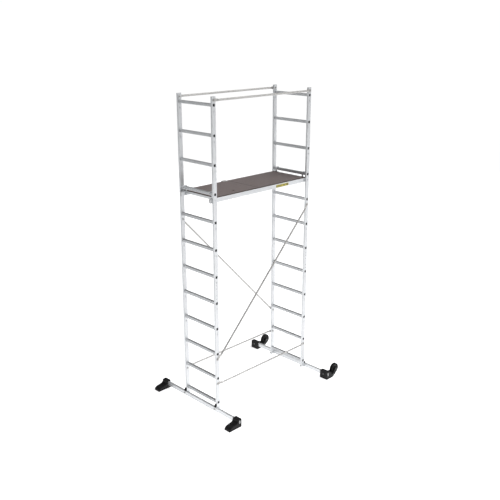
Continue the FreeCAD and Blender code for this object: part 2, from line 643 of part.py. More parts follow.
for side in SIDES:
    bracket_y = foot_y(side, "sizes.bracket_width")
    bracket = new_body(f"bracket_{side + 1}", beam_x(WHEEL), bracket_y, "0")
    block_profile = new_sketch(bracket, "XZ_Plane")
    outline(block_profile, [
        ("-sizes.foot_heel", "0"),
        ("sizes.bracket_skirt", "0"),
        ("sizes.bracket_skirt", "sizes.bracket_front_height"),
        ("sizes.foot_shoulder + sizes.bracket_bevel",
         "sizes.foot_height - sizes.bracket_bevel_drop"),
        ("sizes.foot_shoulder", "sizes.foot_height"),
        ("-sizes.foot_heel", "sizes.foot_height")])
    pad(bracket, block_profile, "sizes.bracket_width", symmetric=True)
    round_edges(bracket, "sizes.foot_round",
                long_side_edge(value("sizes.bracket_width")))
    boss_blend = "(sizes.fork_boss_diameter / 2 - sizes.fork_boss_blend)"
    fork_profile = new_sketch(bracket, "XZ_Plane")
    outline(fork_profile, [
        ("sizes.foot_shoulder", "0"),
        (f"{AXLE_REACH} - sizes.fork_heel", "0"),
        (f"{AXLE_REACH} - sizes.fork_heel_knee", "sizes.fork_heel_knee_rise"),
        (f"{AXLE_REACH} - sizes.fork_underside", "sizes.fork_underside_rise"),
        (f"{AXLE_REACH} + {boss_blend}", f"{AXLE_Z} - sizes.fork_boss_blend_rise"),
        (AXLE_REACH, AXLE_Z),
        (f"{AXLE_REACH} - {boss_blend}", f"{AXLE_Z} + sizes.fork_boss_blend_rise"),
        (f"{AXLE_REACH} - sizes.fork_valley_far", "sizes.fork_valley + sizes.fork_valley_far_rise"),
        (f"{AXLE_REACH} - sizes.fork_valley_middle", "sizes.fork_valley"),
        (f"{AXLE_REACH} - sizes.fork_valley_near",
         "sizes.fork_valley + sizes.fork_valley_near_rise"),
        ("sizes.foot_shoulder", "sizes.foot_height - sizes.fork_root_drop")])
    pad(bracket, fork_profile, "sizes.fork_width", symmetric=True)
    boss = new_sketch(bracket, "XZ_Plane")
    circle(boss, "sizes.fork_boss_diameter", AXLE_REACH, AXLE_Z)
    pad(bracket, boss, "sizes.fork_width", symmetric=True)
    slot = new_sketch(bracket, "XZ_Plane")
    slot_start = f"({AXLE_REACH} - sizes.wheel_diameter / 2 - 2 * sizes.wheel_gap)"
    slot_end = f"({AXLE_REACH} + sizes.wheel_diameter / 2)"
    outline(slot, [(slot_start, "-1"), (slot_end, "-1"), (slot_end, "2 * " + AXLE_Z),
                   (slot_start, "2 * " + AXLE_Z)])
    pocket(bracket, slot, WHEEL_SLOT)
    bore = new_sketch(bracket, "XZ_Plane")
    rectangle(bore, "sizes.beam_width", "sizes.beam_depth", "0", BEAM_Z)
    circle(bore, "sizes.axle_diameter", AXLE_REACH, AXLE_Z)
    pocket(bracket, bore)
    screw_hole = new_sketch(bracket, "YZ_Plane")
    circle(screw_hole, "sizes.bolt_hole_diameter", "0", BEAM_Z)
    pocket(bracket, screw_hole)
    node(bracket, f"wheel_bracket_{SIDE_NAME[side]}")

    # sketches of the wheel lie in its middle plane through the axle: x is the radius, y is across
    tyre = new_body(f"tyre_{side + 1}", AXLE_X, bracket_y, AXLE_Z)
    section = new_sketch(tyre, "XY_Plane")
    tread, half = "sizes.wheel_diameter / 2", "sizes.wheel_width / 2"
    rim = "sizes.rim_diameter / 2"
    side_steps = [(rim, "sizes.tyre_bead_inset"), (f"{rim} + sizes.tyre_bead", "0"),
                  (f"{tread} - sizes.tyre_shoulder", "0"),
                  (f"{tread} - sizes.tyre_knee", "sizes.tyre_knee_width"),
                  (tread, "sizes.tyre_crown")]
    outline(section, [(radius, f"{step} - {half}") for radius, step in side_steps]
            + [(radius, f"{half} - {step}") for radius, step in reversed(side_steps)])
    turned = tyre.newObject("PartDesign::Revolution", "turned")
    turned.Profile = section
    turned.ReferenceAxis = (section, ["V_Axis"])
    node(tyre, f"tyre_{SIDE_NAME[side]}")

    hub = new_body(f"hub_{side + 1}", AXLE_X, bracket_y, AXLE_Z)
    section = new_sketch(hub, "XY_Plane")
    bore_radius = "sizes.axle_diameter / 2 + sizes.axle_clearance"
    boss_radius = "sizes.hub_boss_diameter / 2"
    face = "sizes.hub_width / 2"
    edge = "(sizes.wheel_width / 2 - sizes.tyre_bead_inset)"
    web = f"({edge} - sizes.hub_web_recess)"
    flange = "(sizes.rim_diameter / 2 - sizes.hub_rim_wall)"
    outline(section, [
        (bore_radius, f"-{face}"), (boss_radius, f"-{face}"), (boss_radius, f"-{web}"),
        (flange, f"-{web}"), (flange, f"-{edge}"), (rim, f"-{edge}"), (rim, edge),
        (flange, edge), (flange, web), (boss_radius, web), (boss_radius, face),
        (bore_radius, face)])
    turned = hub.newObject("PartDesign::Revolution", "turned")
    turned.Profile = section
    turned.ReferenceAxis = (section, ["V_Axis"])
    window = new_sketch(hub, "XZ_Plane")
    circle(window, "sizes.hub_window_diameter", f"({boss_radius} + {flange}) / 2", "0")
    first_window = pocket(hub, window)
    windows = hub.newObject("PartDesign::PolarPattern", "windows")
    windows.Originals = [first_window]
    windows.Axis = (window, ["N_Axis"])
    bind(windows, Occurrences="sizes.hub_window_count")
    hub.Tip = windows
    node(hub, f"wheel_hub_{SIDE_NAME[side]}")


def axle(side):
    """Pin through fork and hub with a low head on each cheek."""
    middle = foot_y(side, "sizes.bracket_width")
    near = f"({middle} - sizes.fork_width / 2)"
    far = f"({middle} + sizes.fork_width / 2)"
    pin = rod("sizes.axle_diameter", "sizes.fork_width", AXLE_X, near, AXLE_Z, ALONG_Y)
    heads = [rod("sizes.axle_head_diameter", "sizes.axle_head_height", AXLE_X, y, AXLE_Z, ALONG_Y)
             for y in (f"({near} - sizes.axle_head_height)", far)]
    return fuse(pin, *heads)


node(group(axle(side) for side in SIDES), "wheel_axles")


# ---------------------------------------------------------------- platform

RAIL_Z = f"({DECK_UNDERSIDE} - sizes.platform_rail_depth)"
RAIL_HALF = "(sizes.ladder_spacing / 2 + sizes.platform_rail_reach)"
RAIL_INNER = f"({DECK_HALF} - sizes.platform_rail_width)"


def rail_low_y(side):
    """Lower Y face of a side rail."""
    return f"(-{DECK_HALF})" if side == FRONT else RAIL_INNER


node(group(
    hollow_block(f"2 * {RAIL_HALF}", "sizes.platform_rail_width", "sizes.platform_rail_depth",
                 "sizes.platform_rail_wall", f"({MIDDLE} - {RAIL_HALF})", rail_low_y(side),
                 RAIL_Z, axis=0)
    for side in SIDES), "platform_side_rails")

CROSS_Z = f"({DECK_UNDERSIDE} - sizes.cross_beam_depth)"
END_BEAM_REACH = f"({DECK_END} - sizes.cross_beam_width / 2)"
SEAM_BEAM_X = f"({HATCH_END} + sizes.hatch_gap / 2)"
CROSS_X = [f"({MIDDLE} - {END_BEAM_REACH})", SEAM_BEAM_X,
           f"({SEAM_BEAM_X} + sizes.cross_beam_bay)", f"({MIDDLE} + {END_BEAM_REACH})"]
node(group(
    hollow_block("sizes.cross_beam_width", f"2 * {RAIL_INNER}", "sizes.cross_beam_depth",
                 "sizes.cross_beam_wall", f"({x} - sizes.cross_beam_width / 2)",
                 f"(-{RAIL_INNER})", CROSS_Z, axis=1)
    for x in CROSS_X), "platform_cross_beams")

deck_start = f"({MIDDLE} - {DECK_END})"
fixed_start = f"({HATCH_END} + sizes.hatch_gap)"
node(group([
    block("sizes.hatch_inset - sizes.hatch_gap", f"2 * {DECK_HALF}", "sizes.deck_thickness",
          deck_start, f"-{DECK_HALF}", DECK_UNDERSIDE),
    block(f"{MIDDLE} + {DECK_END} - {fixed_start}", f"2 * {DECK_HALF}", "sizes.deck_thickness",
          fixed_start, f"-{DECK_HALF}", DECK_UNDERSIDE)]), "deck_boards")

hatch = new_body("hatch", HATCH_START, f"-{DECK_HALF}", DECK_UNDERSIDE)
board = new_sketch(hatch, "XY_Plane")
outline(board, [("0", "0"), ("sizes.hatch_length", "0"),
                ("sizes.hatch_length", f"2 * {DECK_HALF}"), ("0", f"2 * {DECK_HALF}")])
circle(board, "sizes.hatch_grip_diameter", "sizes.hatch_length / 2", "sizes.hatch_grip_inset")
pad(hatch, board, "sizes.deck_thickness")
node(hatch, "hatch_board")


def claw(end, side):
    """Plate on the side rail's inner face that hooks over the rung from inside."""
    y = f"(-{RAIL_INNER})" if side == FRONT else f"({RAIL_INNER} - sizes.claw_width)"
    flange_y = f"(-{RAIL_INNER})" if side == FRONT else f"({RAIL_INNER} - sizes.claw_thickness)"
    middle = ladder_x(end)
    half = "sizes.rung_size / 2"
    rung = rung_z("sizes.deck_rung")
    inner = f"({middle} - {end} * ({half} + sizes.claw_thickness / 2))"
    outer = f"({middle} + {end} * ({half} + sizes.claw_thickness / 2))"
    top = f"({rung} + {half})"
    root = f"({middle} - {end} * ({half} + sizes.claw_root / 2))"
    upright = block("sizes.claw_thickness", "sizes.claw_width",
                    f"{top} + sizes.claw_thickness - {RAIL_Z}",
                    f"({inner} - sizes.claw_thickness / 2)", y, RAIL_Z)
    bridge = block("sizes.rung_size + 2 * sizes.claw_thickness", "sizes.claw_width",
                   "sizes.claw_thickness", f"({middle} - {half} - sizes.claw_thickness)", y, top)
    nose = block("sizes.claw_thickness", "sizes.claw_width", "sizes.claw_nose",
                 f"({outer} - sizes.claw_thickness / 2)", y, f"({top} - sizes.claw_nose)")
    flange = block("sizes.claw_root", "sizes.claw_thickness", f"{CROSS_Z} - {RAIL_Z}",
                   f"({root} - sizes.claw_root / 2)", flange_y, RAIL_Z)
    return fuse(upright, bridge, nose, flange)


node(group(claw(end, side) for end in ENDS for side in SIDES), "platform_claws")

HINGE_Y = f"({DECK_HALF} + sizes.hinge_barrel_offset)"
HINGE_Z = f"({DECK_TOP} + sizes.hinge_barrel_rise)"
HINGE_X = [f"({HATCH_START} + sizes.hinge_inset)", f"({HATCH_END} - sizes.hinge_inset)"]
BACK_FACE = DECK_HALF
SLEEVE = "(sizes.hinge_pin_diameter + 2 * sizes.hinge_clearance)"


def moving_leaf(x):
    """Leaf on the hatch with one knuckle in the middle of the hinge."""
    plate = block("sizes.hinge_length", "sizes.hinge_leaf_width - sizes.hinge_leaf_end", "sizes.hinge_leaf",
                  f"({x} - sizes.hinge_length / 2)", f"({BACK_FACE} - sizes.hinge_leaf_width)",
                  DECK_TOP)
    start = f"({x} - sizes.hinge_tongue / 2)"
    tongue = block("sizes.hinge_tongue", "sizes.hinge_leaf_width + sizes.hinge_barrel_offset",
                   "sizes.hinge_leaf", start, f"({BACK_FACE} - sizes.hinge_leaf_width)", DECK_TOP)
    knuckle = rod("sizes.hinge_barrel_diameter", "sizes.hinge_tongue", start, HINGE_Y, HINGE_Z,
                  ALONG_X)
    bore = rod(SLEEVE, "sizes.hinge_length", f"({x} - sizes.hinge_length / 2)", HINGE_Y, HINGE_Z,
               ALONG_X)
    return cut(fuse(plate, tongue, knuckle), bore)


def fixed_leaf(x):
    """Leaf on the side rail with two outer knuckles and the pin."""
    tongue_length = "((sizes.hinge_length - sizes.hinge_tongue) / 2 - sizes.hinge_gap)"
    leaf_top = f"({DECK_TOP} - sizes.hinge_leaf_setback)"
    pieces = [block("sizes.hinge_length", "sizes.hinge_leaf", "sizes.hinge_leaf_drop",
                    f"({x} - sizes.hinge_length / 2)", BACK_FACE,
                    f"({leaf_top} - sizes.hinge_leaf_drop)"),
              rod("sizes.hinge_pin_diameter", "sizes.hinge_length",
                  f"({x} - sizes.hinge_length / 2)", HINGE_Y, HINGE_Z, ALONG_X)]
    for start in (f"({x} - sizes.hinge_length / 2)",
                  f"({x} + sizes.hinge_tongue / 2 + sizes.hinge_gap)"):
        pieces.append(block(tongue_length, "sizes.hinge_leaf", f"{HINGE_Z} - {leaf_top}",
                            start, f"({BACK_FACE} + sizes.hinge_crank)", leaf_top))
        pieces.append(rod("sizes.hinge_barrel_diameter", tongue_length, start, HINGE_Y, HINGE_Z,
                          ALONG_X))
    return fuse(*pieces)


node(group(moving_leaf(x) for x in HINGE_X), "hatch_hinge_moving_leaves")
node(group(fixed_leaf(x) for x in HINGE_X), "hatch_hinge_fixed_leaves")


# ---------------------------------------------------------------- check and write

doc.recompute()
for item in doc.Objects:
    if "Invalid" in item.State or "Error" in item.State:
        raise RuntimeError(f"{item.Name} ({item.Label}) did not compute: {item.State}")
for item in NODES:
    if item.Shape.isNull() or not item.Shape.isValid():
        raise RuntimeError(f"{item.Label} has no valid shape")

os.makedirs("parts", exist_ok=True)
for item in NODES:
    item.Shape.exportStep(os.path.join("parts", f"{item.Label}.step"))
print(f"{len(NODES)} sub-parts written")
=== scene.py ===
import sys
import json
import math

import bmesh
import bpy
from bpy.props import FloatProperty, FloatVectorProperty, IntProperty, PointerProperty
from mathutils import Matrix, Vector
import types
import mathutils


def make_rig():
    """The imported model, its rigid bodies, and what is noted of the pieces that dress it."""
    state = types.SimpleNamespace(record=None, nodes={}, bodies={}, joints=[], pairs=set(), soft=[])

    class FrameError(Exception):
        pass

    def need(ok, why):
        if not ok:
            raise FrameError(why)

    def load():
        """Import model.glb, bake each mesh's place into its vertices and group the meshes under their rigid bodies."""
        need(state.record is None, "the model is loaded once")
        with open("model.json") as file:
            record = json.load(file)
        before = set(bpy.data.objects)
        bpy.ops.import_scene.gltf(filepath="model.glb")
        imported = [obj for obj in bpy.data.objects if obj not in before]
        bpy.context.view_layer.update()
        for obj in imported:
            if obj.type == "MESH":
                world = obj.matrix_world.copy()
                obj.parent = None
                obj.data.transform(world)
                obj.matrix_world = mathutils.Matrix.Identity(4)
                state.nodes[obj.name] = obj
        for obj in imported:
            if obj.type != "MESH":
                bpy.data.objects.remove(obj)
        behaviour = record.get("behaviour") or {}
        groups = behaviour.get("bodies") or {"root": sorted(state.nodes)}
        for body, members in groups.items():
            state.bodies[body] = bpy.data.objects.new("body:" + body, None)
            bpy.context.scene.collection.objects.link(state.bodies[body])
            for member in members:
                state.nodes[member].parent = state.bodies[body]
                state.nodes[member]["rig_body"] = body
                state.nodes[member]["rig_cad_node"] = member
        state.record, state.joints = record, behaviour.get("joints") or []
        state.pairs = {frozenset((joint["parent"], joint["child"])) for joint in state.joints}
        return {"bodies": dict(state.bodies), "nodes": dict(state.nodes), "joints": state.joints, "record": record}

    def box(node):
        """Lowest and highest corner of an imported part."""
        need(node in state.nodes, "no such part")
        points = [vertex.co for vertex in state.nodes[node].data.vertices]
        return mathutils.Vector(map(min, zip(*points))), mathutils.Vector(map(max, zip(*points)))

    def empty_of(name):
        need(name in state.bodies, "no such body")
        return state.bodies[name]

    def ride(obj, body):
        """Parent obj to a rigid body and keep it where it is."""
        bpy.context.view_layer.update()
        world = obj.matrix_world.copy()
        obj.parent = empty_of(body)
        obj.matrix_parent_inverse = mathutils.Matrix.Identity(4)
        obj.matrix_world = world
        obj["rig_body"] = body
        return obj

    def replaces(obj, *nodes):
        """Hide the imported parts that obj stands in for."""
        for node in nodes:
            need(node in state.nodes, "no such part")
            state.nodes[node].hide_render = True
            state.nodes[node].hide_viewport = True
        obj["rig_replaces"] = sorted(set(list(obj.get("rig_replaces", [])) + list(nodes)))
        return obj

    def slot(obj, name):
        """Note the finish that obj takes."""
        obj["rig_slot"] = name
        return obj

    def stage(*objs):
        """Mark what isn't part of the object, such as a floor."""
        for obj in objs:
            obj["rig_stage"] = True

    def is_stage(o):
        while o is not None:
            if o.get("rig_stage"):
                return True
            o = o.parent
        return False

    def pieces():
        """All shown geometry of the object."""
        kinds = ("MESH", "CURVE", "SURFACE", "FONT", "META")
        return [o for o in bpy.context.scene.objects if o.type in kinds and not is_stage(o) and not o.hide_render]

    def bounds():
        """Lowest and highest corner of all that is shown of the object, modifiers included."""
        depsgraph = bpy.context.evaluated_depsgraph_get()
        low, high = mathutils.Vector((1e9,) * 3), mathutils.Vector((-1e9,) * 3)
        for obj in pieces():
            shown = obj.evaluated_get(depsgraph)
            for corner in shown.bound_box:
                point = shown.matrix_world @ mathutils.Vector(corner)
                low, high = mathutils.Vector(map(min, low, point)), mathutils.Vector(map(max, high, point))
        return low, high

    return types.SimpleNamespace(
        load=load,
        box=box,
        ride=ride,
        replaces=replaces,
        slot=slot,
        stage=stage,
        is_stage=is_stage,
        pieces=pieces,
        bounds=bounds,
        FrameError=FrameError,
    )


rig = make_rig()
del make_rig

bl_info = {
    "name": "Tower Scaffold",
    "version": (1, 0, 0),
    "blender": (4, 5, 0),
    "location": "3D View > Sidebar > Scaffold",
    "description": "Dresses the ladder-frame tower scaffold with detailed pieces and finishes",
    "category": "Object",
}

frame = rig.load()
CAD_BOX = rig.bounds()

X, Y, Z = Vector((1, 0, 0)), Vector((0, 1, 0)), Vector((0, 0, 1))
MM = 0.001
TINY = 1e-9
ENDS = ("shoe_end", "wheel_end")
SIDES = ("front", "back")
RUNGS = sorted({name[-2:] for name in frame["nodes"] if name.startswith("rung_")})


# ---------------------------------------------------------------- settings

class ScaffoldSizes(bpy.types.PropertyGroup):
    """Sizes of the detail that the pieces carry"""
    tube_corner: FloatProperty(name="Tube corner", description="Outer corner radius of stiles",
                               default=3 * MM, min=0, unit="LENGTH")
    tube_wall: FloatProperty(name="Tube wall", description="Wall of stiles and rungs",
                             default=1.8 * MM, min=0, unit="LENGTH")
    rib_count: IntProperty(name="Ribs", description="Ribs on each face of a rung", default=4, min=0)
    rib_depth: FloatProperty(name="Rib depth", description="Depth of the grooves between ribs",
                             default=0.7 * MM, min=0, unit="LENGTH")
    # painted shade: how far inside each open rung end the black plug sits that stands in for the shade in the hollow
    # tube
    plug_recess: FloatProperty(name="Plug recess", description="Rung plugs behind the rung ends",
                               default=1.5 * MM, min=0, unit="LENGTH")
    board_edge: FloatProperty(name="Board edge", description="Rounding of the deck boards",
                              default=1.2 * MM, min=0, unit="LENGTH")


class ScaffoldColours(bpy.types.PropertyGroup):
    """Colours of the finishes"""
    aluminium: FloatVectorProperty(name="Aluminium", description="Extrusions and rung sides",
                                   default=(0.74, 0.755, 0.77), subtype="COLOR")
    # painted shade: the rung treads, facing up and down, take this darker grey than the aluminium of the rung sides
    rung: FloatVectorProperty(name="Rung", description="Treads of the rungs",
                              default=(0.39, 0.40, 0.41), subtype="COLOR")
    steel: FloatVectorProperty(name="Steel", description="Galvanised brace tubes",
                               default=(0.53, 0.522, 0.51), subtype="COLOR")
    film: FloatVectorProperty(name="Deck film", description="Film on the plywood deck",
                              default=(0.166, 0.131, 0.126), subtype="COLOR")
    ply: FloatVectorProperty(name="Ply edge", description="Sealed edge of the plywood",
                             default=(0.020, 0.013, 0.010), subtype="COLOR")
    moulding: FloatVectorProperty(name="Moulding", description="Black moulded plastic",
                                  default=(0.010, 0.010, 0.0105), subtype="COLOR")
    label: FloatVectorProperty(name="Label", description="Field of the load label",
                               default=(0.50, 0.42, 0.040), subtype="COLOR")


class ScaffoldStage(bpy.types.PropertyGroup):
    """Where the camera stands"""
    azimuth: FloatProperty(name="Azimuth", description="Turn of the view from the front",
                           default=math.radians(-45), subtype="ANGLE")
    elevation: FloatProperty(name="Elevation", description="Height of the view",
                             default=math.radians(18.041), subtype="ANGLE")
    distance: FloatProperty(name="Distance", description="From the camera to its target",
                            default=7.483, unit="LENGTH")
    target: FloatVectorProperty(name="Target", description="Point that the camera looks at",
                                default=(-0.0197, -0.0232, 1.5966), subtype="TRANSLATION")


# ---------------------------------------------------------------- shader expressions

# the colour sockets of a Mix node, which come after its number and vector sockets
MIX_LOW, MIX_HIGH, MIX_RESULT = 6, 7, 2


class Field:
    """An output of a shader node, used in Python expressions."""

    def __init__(self, tree, socket):
        self.tree = tree
        self.socket = socket

    def _math(self, operation, first, second=0.0, clamp=False):
        settings = {"operation": operation, "use_clamp": clamp}
        return self.tree.node("ShaderNodeMath", settings, {0: first, 1: second})[0]

    def __add__(self, other):
        return self._math("ADD", self, other)

    def __radd__(self, other):
        return self._math("ADD", other, self)

    def __sub__(self, other):
        return self._math("SUBTRACT", self, other)

    def __rsub__(self, other):
        return self._math("SUBTRACT", other, self)

    def __mul__(self, other):
        return self._math("MULTIPLY", self, other)

    def __rmul__(self, other):
        return self._math("MULTIPLY", other, self)

    def __abs__(self):
        return self._math("ABSOLUTE", self)

    def clamped(self):
        return self._math("ADD", self, 0.0, clamp=True)

    def fraction(self):
        return self._math("FRACT", self)

    def larger(self, other):
        return self._math("MAXIMUM", self, other)

    def power(self, other):
        return self._math("POWER", self, other)


class Outputs:
    """The outputs of a node, by name or number."""

    def __init__(self, tree, made):
        self.tree = tree
        self.made = made

    def __getitem__(self, key):
        return Field(self.tree, self.made.outputs[key])


class Finish:
    """A material or a world whose nodes are added by name and expression."""

    def __init__(self, name, world=None):
        self.material = world or bpy.data.materials.new(name)
        self.material.use_nodes = True
        self.nodes = self.material.node_tree.nodes
        self.links = self.material.node_tree.links
        self.shader = self.nodes["Background" if world else "Principled BSDF"]

    def node(self, kind, settings=None, sockets=None):
        """Add a node: its settings first, then the values or links of its sockets."""
        made = self.nodes.new(kind)
        for key, value in (settings or {}).items():
            setattr(made, key, value)
        for key, value in (sockets or {}).items():
            self.feed(made.inputs[key], value)
        return Outputs(self, made)

    def feed(self, socket, value):
        """Link an expression to a socket, or set a plain value on it."""
        if isinstance(value, Field):
            self.links.new(value.socket, socket)
        elif socket.type == "RGBA" and len(value) == 3:
            socket.default_value = (*value, 1.0)
        else:
            socket.default_value = value

    def place(self, scale=(1, 1, 1)):
        """Position on the piece, stretched by the scale along each axis."""
        where = self.node("ShaderNodeTexCoord")["Object"]
        return self.node("ShaderNodeVectorMath", {"operation": "MULTIPLY"},
                         {0: where, 1: scale})[0]

    def axes(self):
        """Position on the piece as three numbers."""
        split = self.node("ShaderNodeSeparateXYZ", None, {0: self.place()})
        return split["X"], split["Y"], split["Z"]

    def noise(self, scale, stretch=(1, 1, 1), detail=3.0, roughness=0.5):
        """Soft noise from 0 to 1."""
        return self.node("ShaderNodeTexNoise", None, {
            "Vector": self.place(stretch), "Scale": scale, "Detail": detail,
            "Roughness": roughness})[0]

    def mix(self, amount, low, high):
        """Blend of two colours."""
        return self.node("ShaderNodeMix", {"data_type": "RGBA"},
                         {0: amount, MIX_LOW: low, MIX_HIGH: high})[MIX_RESULT]

    def bump(self, height, depth, normal=None):
        """Normal raised by a height field whose full range is depth."""
        sockets = {"Height": height, "Distance": depth, "Strength": 1.0}
        if normal:
            sockets["Normal"] = normal
        return self.node("ShaderNodeBump", None, sockets)[0]

    def surface(self, **sockets):
        """Set the shader's sockets; words in a name are joined by underscores."""
        for key, value in sockets.items():
            self.feed(self.shader.inputs[key.replace("_", " ")], value)
        return self.material


def tint(colour, factor):
    """A colour made lighter or darker."""
    return tuple(min(1.0, channel * factor) for channel in colour)


def colours():
    return bpy.context.scene.scaffold_colours


def sizes():
    return bpy.context.scene.scaffold_sizes


# ---------------------------------------------------------------- finishes

# the floor is solid up to the first radius and has faded out at the second, in metres
FLOOR_CLEAR = 7.0
FLOOR_REACH = 14.0
# wire mesh pressed into the deck film, and one veneer of its ply
MESH_PITCH = 5.5 * MM
VENEER = 1.9 * MM

FINISHES = {}


def finish(name, *key):
    """The material of that name, made once."""
    if (name, key) not in FINISHES:
        FINISHES[name, key] = globals()["make_" + name](*key)
    return FINISHES[name, key]


def make_extruded_aluminium(grain):
    """Mill-finish extrusion: fine die lines along the grain axis, faint smudges and scuffs."""
    look = Finish("extruded_aluminium_" + grain)
    across = {"X": (0.6, 260, 260), "Y": (260, 0.6, 260), "Z": (260, 260, 0.6)}[grain]
    lines = look.noise(4.0, across, 4.0, 0.65)
    broad = look.noise(3.0, tuple(v ** 0.5 for v in across), 3.0)
    smudge = look.noise(9.0, (1, 1, 1), 5.0, 0.6)
    base = tuple(colours().aluminium)
    tone = look.mix(lines, tint(base, 0.86), tint(base, 1.08))
    tone = look.mix((smudge - 0.45) * 0.9, tone, tint(base, 0.80))
    return look.surface(
        Base_Color=tone, Metallic=0.82,
        Roughness=0.30 + 0.12 * lines + 0.10 * broad + 0.10 * smudge,
        Normal=look.bump(lines + 0.5 * broad, 0.00006))


def make_ribbed_aluminium(face):
    """Rung extrusion with die lines and worn patches; its treads take a darker grey than its sides as painted shade.
    """
    look = Finish("ribbed_aluminium_" + face)
    lines = look.noise(4.0, (260, 0.6, 260), 4.0, 0.65)
    wear = look.noise(14.0, (1, 2, 1), 5.0, 0.6)
    base = tuple(colours().rung if face == "tread" else colours().aluminium)
    tone = look.mix(lines, tint(base, 0.82), tint(base, 1.10))
    tone = look.mix((wear - 0.5) * 1.4, tone, tint(base, 1.25))
    return look.surface(
        Base_Color=tone, Metallic=0.8, Roughness=0.40 + 0.12 * lines + 0.12 * wear,
        Normal=look.bump(lines, 0.00008))


def make_galvanised_steel():
    """Galvanised tube: zinc spangle with a warm cast and dull blotches."""
    look = Finish("galvanised_steel")
    cells = look.node("ShaderNodeTexVoronoi", None,
                      {"Vector": look.place(), "Scale": 140.0})["Color"]
    spangle = look.node("ShaderNodeSeparateXYZ", None, {0: cells})["X"]
    cloud = look.noise(22.0, (1, 1, 1), 4.0, 0.6)
    base = tuple(colours().steel)
    tone = look.mix(spangle, tint(base, 0.84), tint(base, 1.12))
    tone = look.mix((cloud - 0.4) * 0.9, tone, tint(base, 1.2))
    return look.surface(
        Base_Color=tone, Metallic=0.7, Roughness=0.36 + 0.16 * spangle + 0.10 * cloud,
        Normal=look.bump(spangle, 0.00003))


def make_zinc():
    """Zinc plating on bolts, rivets and hinges, with a faint blue and yellow cast."""
    look = Finish("zinc")
    cast = look.noise(160.0, (1, 1, 1), 3.0)
    fine = look.noise(900.0, (1, 1, 1), 2.0)
    tone = look.mix(cast, (0.46, 0.47, 0.50), (0.60, 0.58, 0.52))
    return look.surface(Base_Color=tone, Metallic=0.95, Roughness=0.26 + 0.18 * fine,
                        Normal=look.bump(fine, 0.00003))


def make_dark_steel():
    """Blackened steel of the foot screws, the axle heads and the joint rivets."""
    look = Finish("dark_steel")
    fine = look.noise(700.0, (1, 1, 1), 3.0)
    cloud = look.noise(90.0, (1, 1, 1), 3.0)
    tone = look.mix(cloud, (0.09, 0.09, 0.095), (0.15, 0.15, 0.15))
    return look.surface(Base_Color=tone, Metallic=0.8, Roughness=0.38 + 0.2 * fine,
                        Normal=look.bump(fine, 0.00004))


def make_end_plug():
    """Pale grey plastic of the plugs in the ends of beams, rails and stiles."""
    look = Finish("end_plug")
    grain = look.noise(1200.0, (1, 1, 1), 2.0)
    cloud = look.noise(50.0, (1, 1, 1), 4.0)
    tone = look.mix(cloud, (0.64, 0.645, 0.65), (0.74, 0.745, 0.75))
    return look.surface(Base_Color=tone, Roughness=0.40 + 0.15 * grain,
                        Normal=look.bump(grain, 0.00006))


def make_deck_film():
    """Film-faced ply: brown phenolic film pressed with a fine wire mesh, walked and dusty."""
    look = Finish("deck_film")
    x, y = look.axes()[:2]
    per_metre = 1 / MESH_PITCH
    ridge_u = abs(((x + y) * per_metre).fraction() - 0.5)
    ridge_v = abs(((x - y) * per_metre).fraction() - 0.5)
    mesh = ridge_u.larger(ridge_v).power(4.0) * 16.0
    cloud = look.noise(5.0, (1, 1, 1), 5.0, 0.6)
    grain = look.noise(60.0, (0.25, 1, 1), 4.0, 0.6)
    base = tuple(colours().film)
    tone = look.mix(mesh, tint(base, 0.90), tint(base, 1.10))
    tone = look.mix((cloud - 0.35) * 0.8, tone, tint(base, 1.20))
    tone = look.mix((grain - 0.5) * 0.5, tone, tint(base, 0.78))
    return look.surface(
        Base_Color=tone, Roughness=0.44 + 0.14 * cloud + 0.08 * grain, Specular_IOR_Level=0.45,
        Normal=look.bump(mesh, 0.0002, look.bump(grain, 0.00012)))


def make_ply_edge():
    """Edge of the ply: thin veneers under dark sealing paint."""
    look = Finish("ply_edge")
    z = look.axes()[2]
    layer = abs((z * (1 / VENEER)).fraction() - 0.5) * 2.0
    fibre = look.noise(90.0, (1, 1, 8), 4.0, 0.65)
    base = tuple(colours().ply)
    tone = look.mix(layer * 0.6 + fibre * 0.4, base, tint(base, 2.6))
    return look.surface(Base_Color=tone, Roughness=0.62 + 0.2 * fibre,
                        Normal=look.bump(layer + fibre, 0.0002))


def make_moulded_plastic():
    """Black polyamide with the fine spark-eroded grain of its mould and pale scuffs."""
    look = Finish("moulded_plastic")
    grain = look.noise(1400.0, (1, 1, 1), 2.0)
    scuff = look.noise(38.0, (1, 1, 1), 6.0, 0.7)
    base = tuple(colours().moulding)
    rubbed = ((scuff - 0.56) * 5.0).clamped()
    tone = look.mix(rubbed, base, tint(base, 2.6))
    return look.surface(
        Base_Color=tone, Roughness=0.44 + 0.14 * grain + 0.16 * rubbed, Specular_IOR_Level=0.17,
        Normal=look.bump(grain, 0.00008))


def make_grip_plastic():
    """Brown-grey plastic of the grip ring, close to the deck film."""
    look = Finish("grip_plastic")
    grain = look.noise(1400.0, (1, 1, 1), 2.0)
    base = tuple(colours().film)
    tone = look.mix(grain, tint(base, 0.85), tint(base, 1.05))
    return look.surface(Base_Color=tone, Roughness=0.42 + 0.14 * grain,
                        Normal=look.bump(grain, 0.00008))


def make_tyre_rubber():
    """Solid rubber, dusty grey in its pores."""
    look = Finish("tyre_rubber")
    pores = look.noise(700.0, (1, 1, 1), 3.0)
    dust = look.noise(45.0, (1, 1, 1), 5.0, 0.6)
    tone = look.mix((dust - 0.42) * 1.6, (0.007, 0.007, 0.0072), (0.022, 0.0215, 0.021))
    return look.surface(Base_Color=tone, Roughness=0.62 + 0.2 * pores, Specular_IOR_Level=0.25,
                        Normal=look.bump(pores, 0.00012))


def make_hub_plastic():
    """Dark grey hub moulding."""
    look = Finish("hub_plastic")
    grain = look.noise(1100.0, (1, 1, 1), 2.0)
    cloud = look.noise(60.0, (1, 1, 1), 4.0)
    tone = look.mix(cloud, (0.014, 0.014, 0.015), (0.024, 0.024, 0.025))
    return look.surface(Base_Color=tone, Roughness=0.38 + 0.16 * grain, Specular_IOR_Level=0.3,
                        Normal=look.bump(grain, 0.00006))


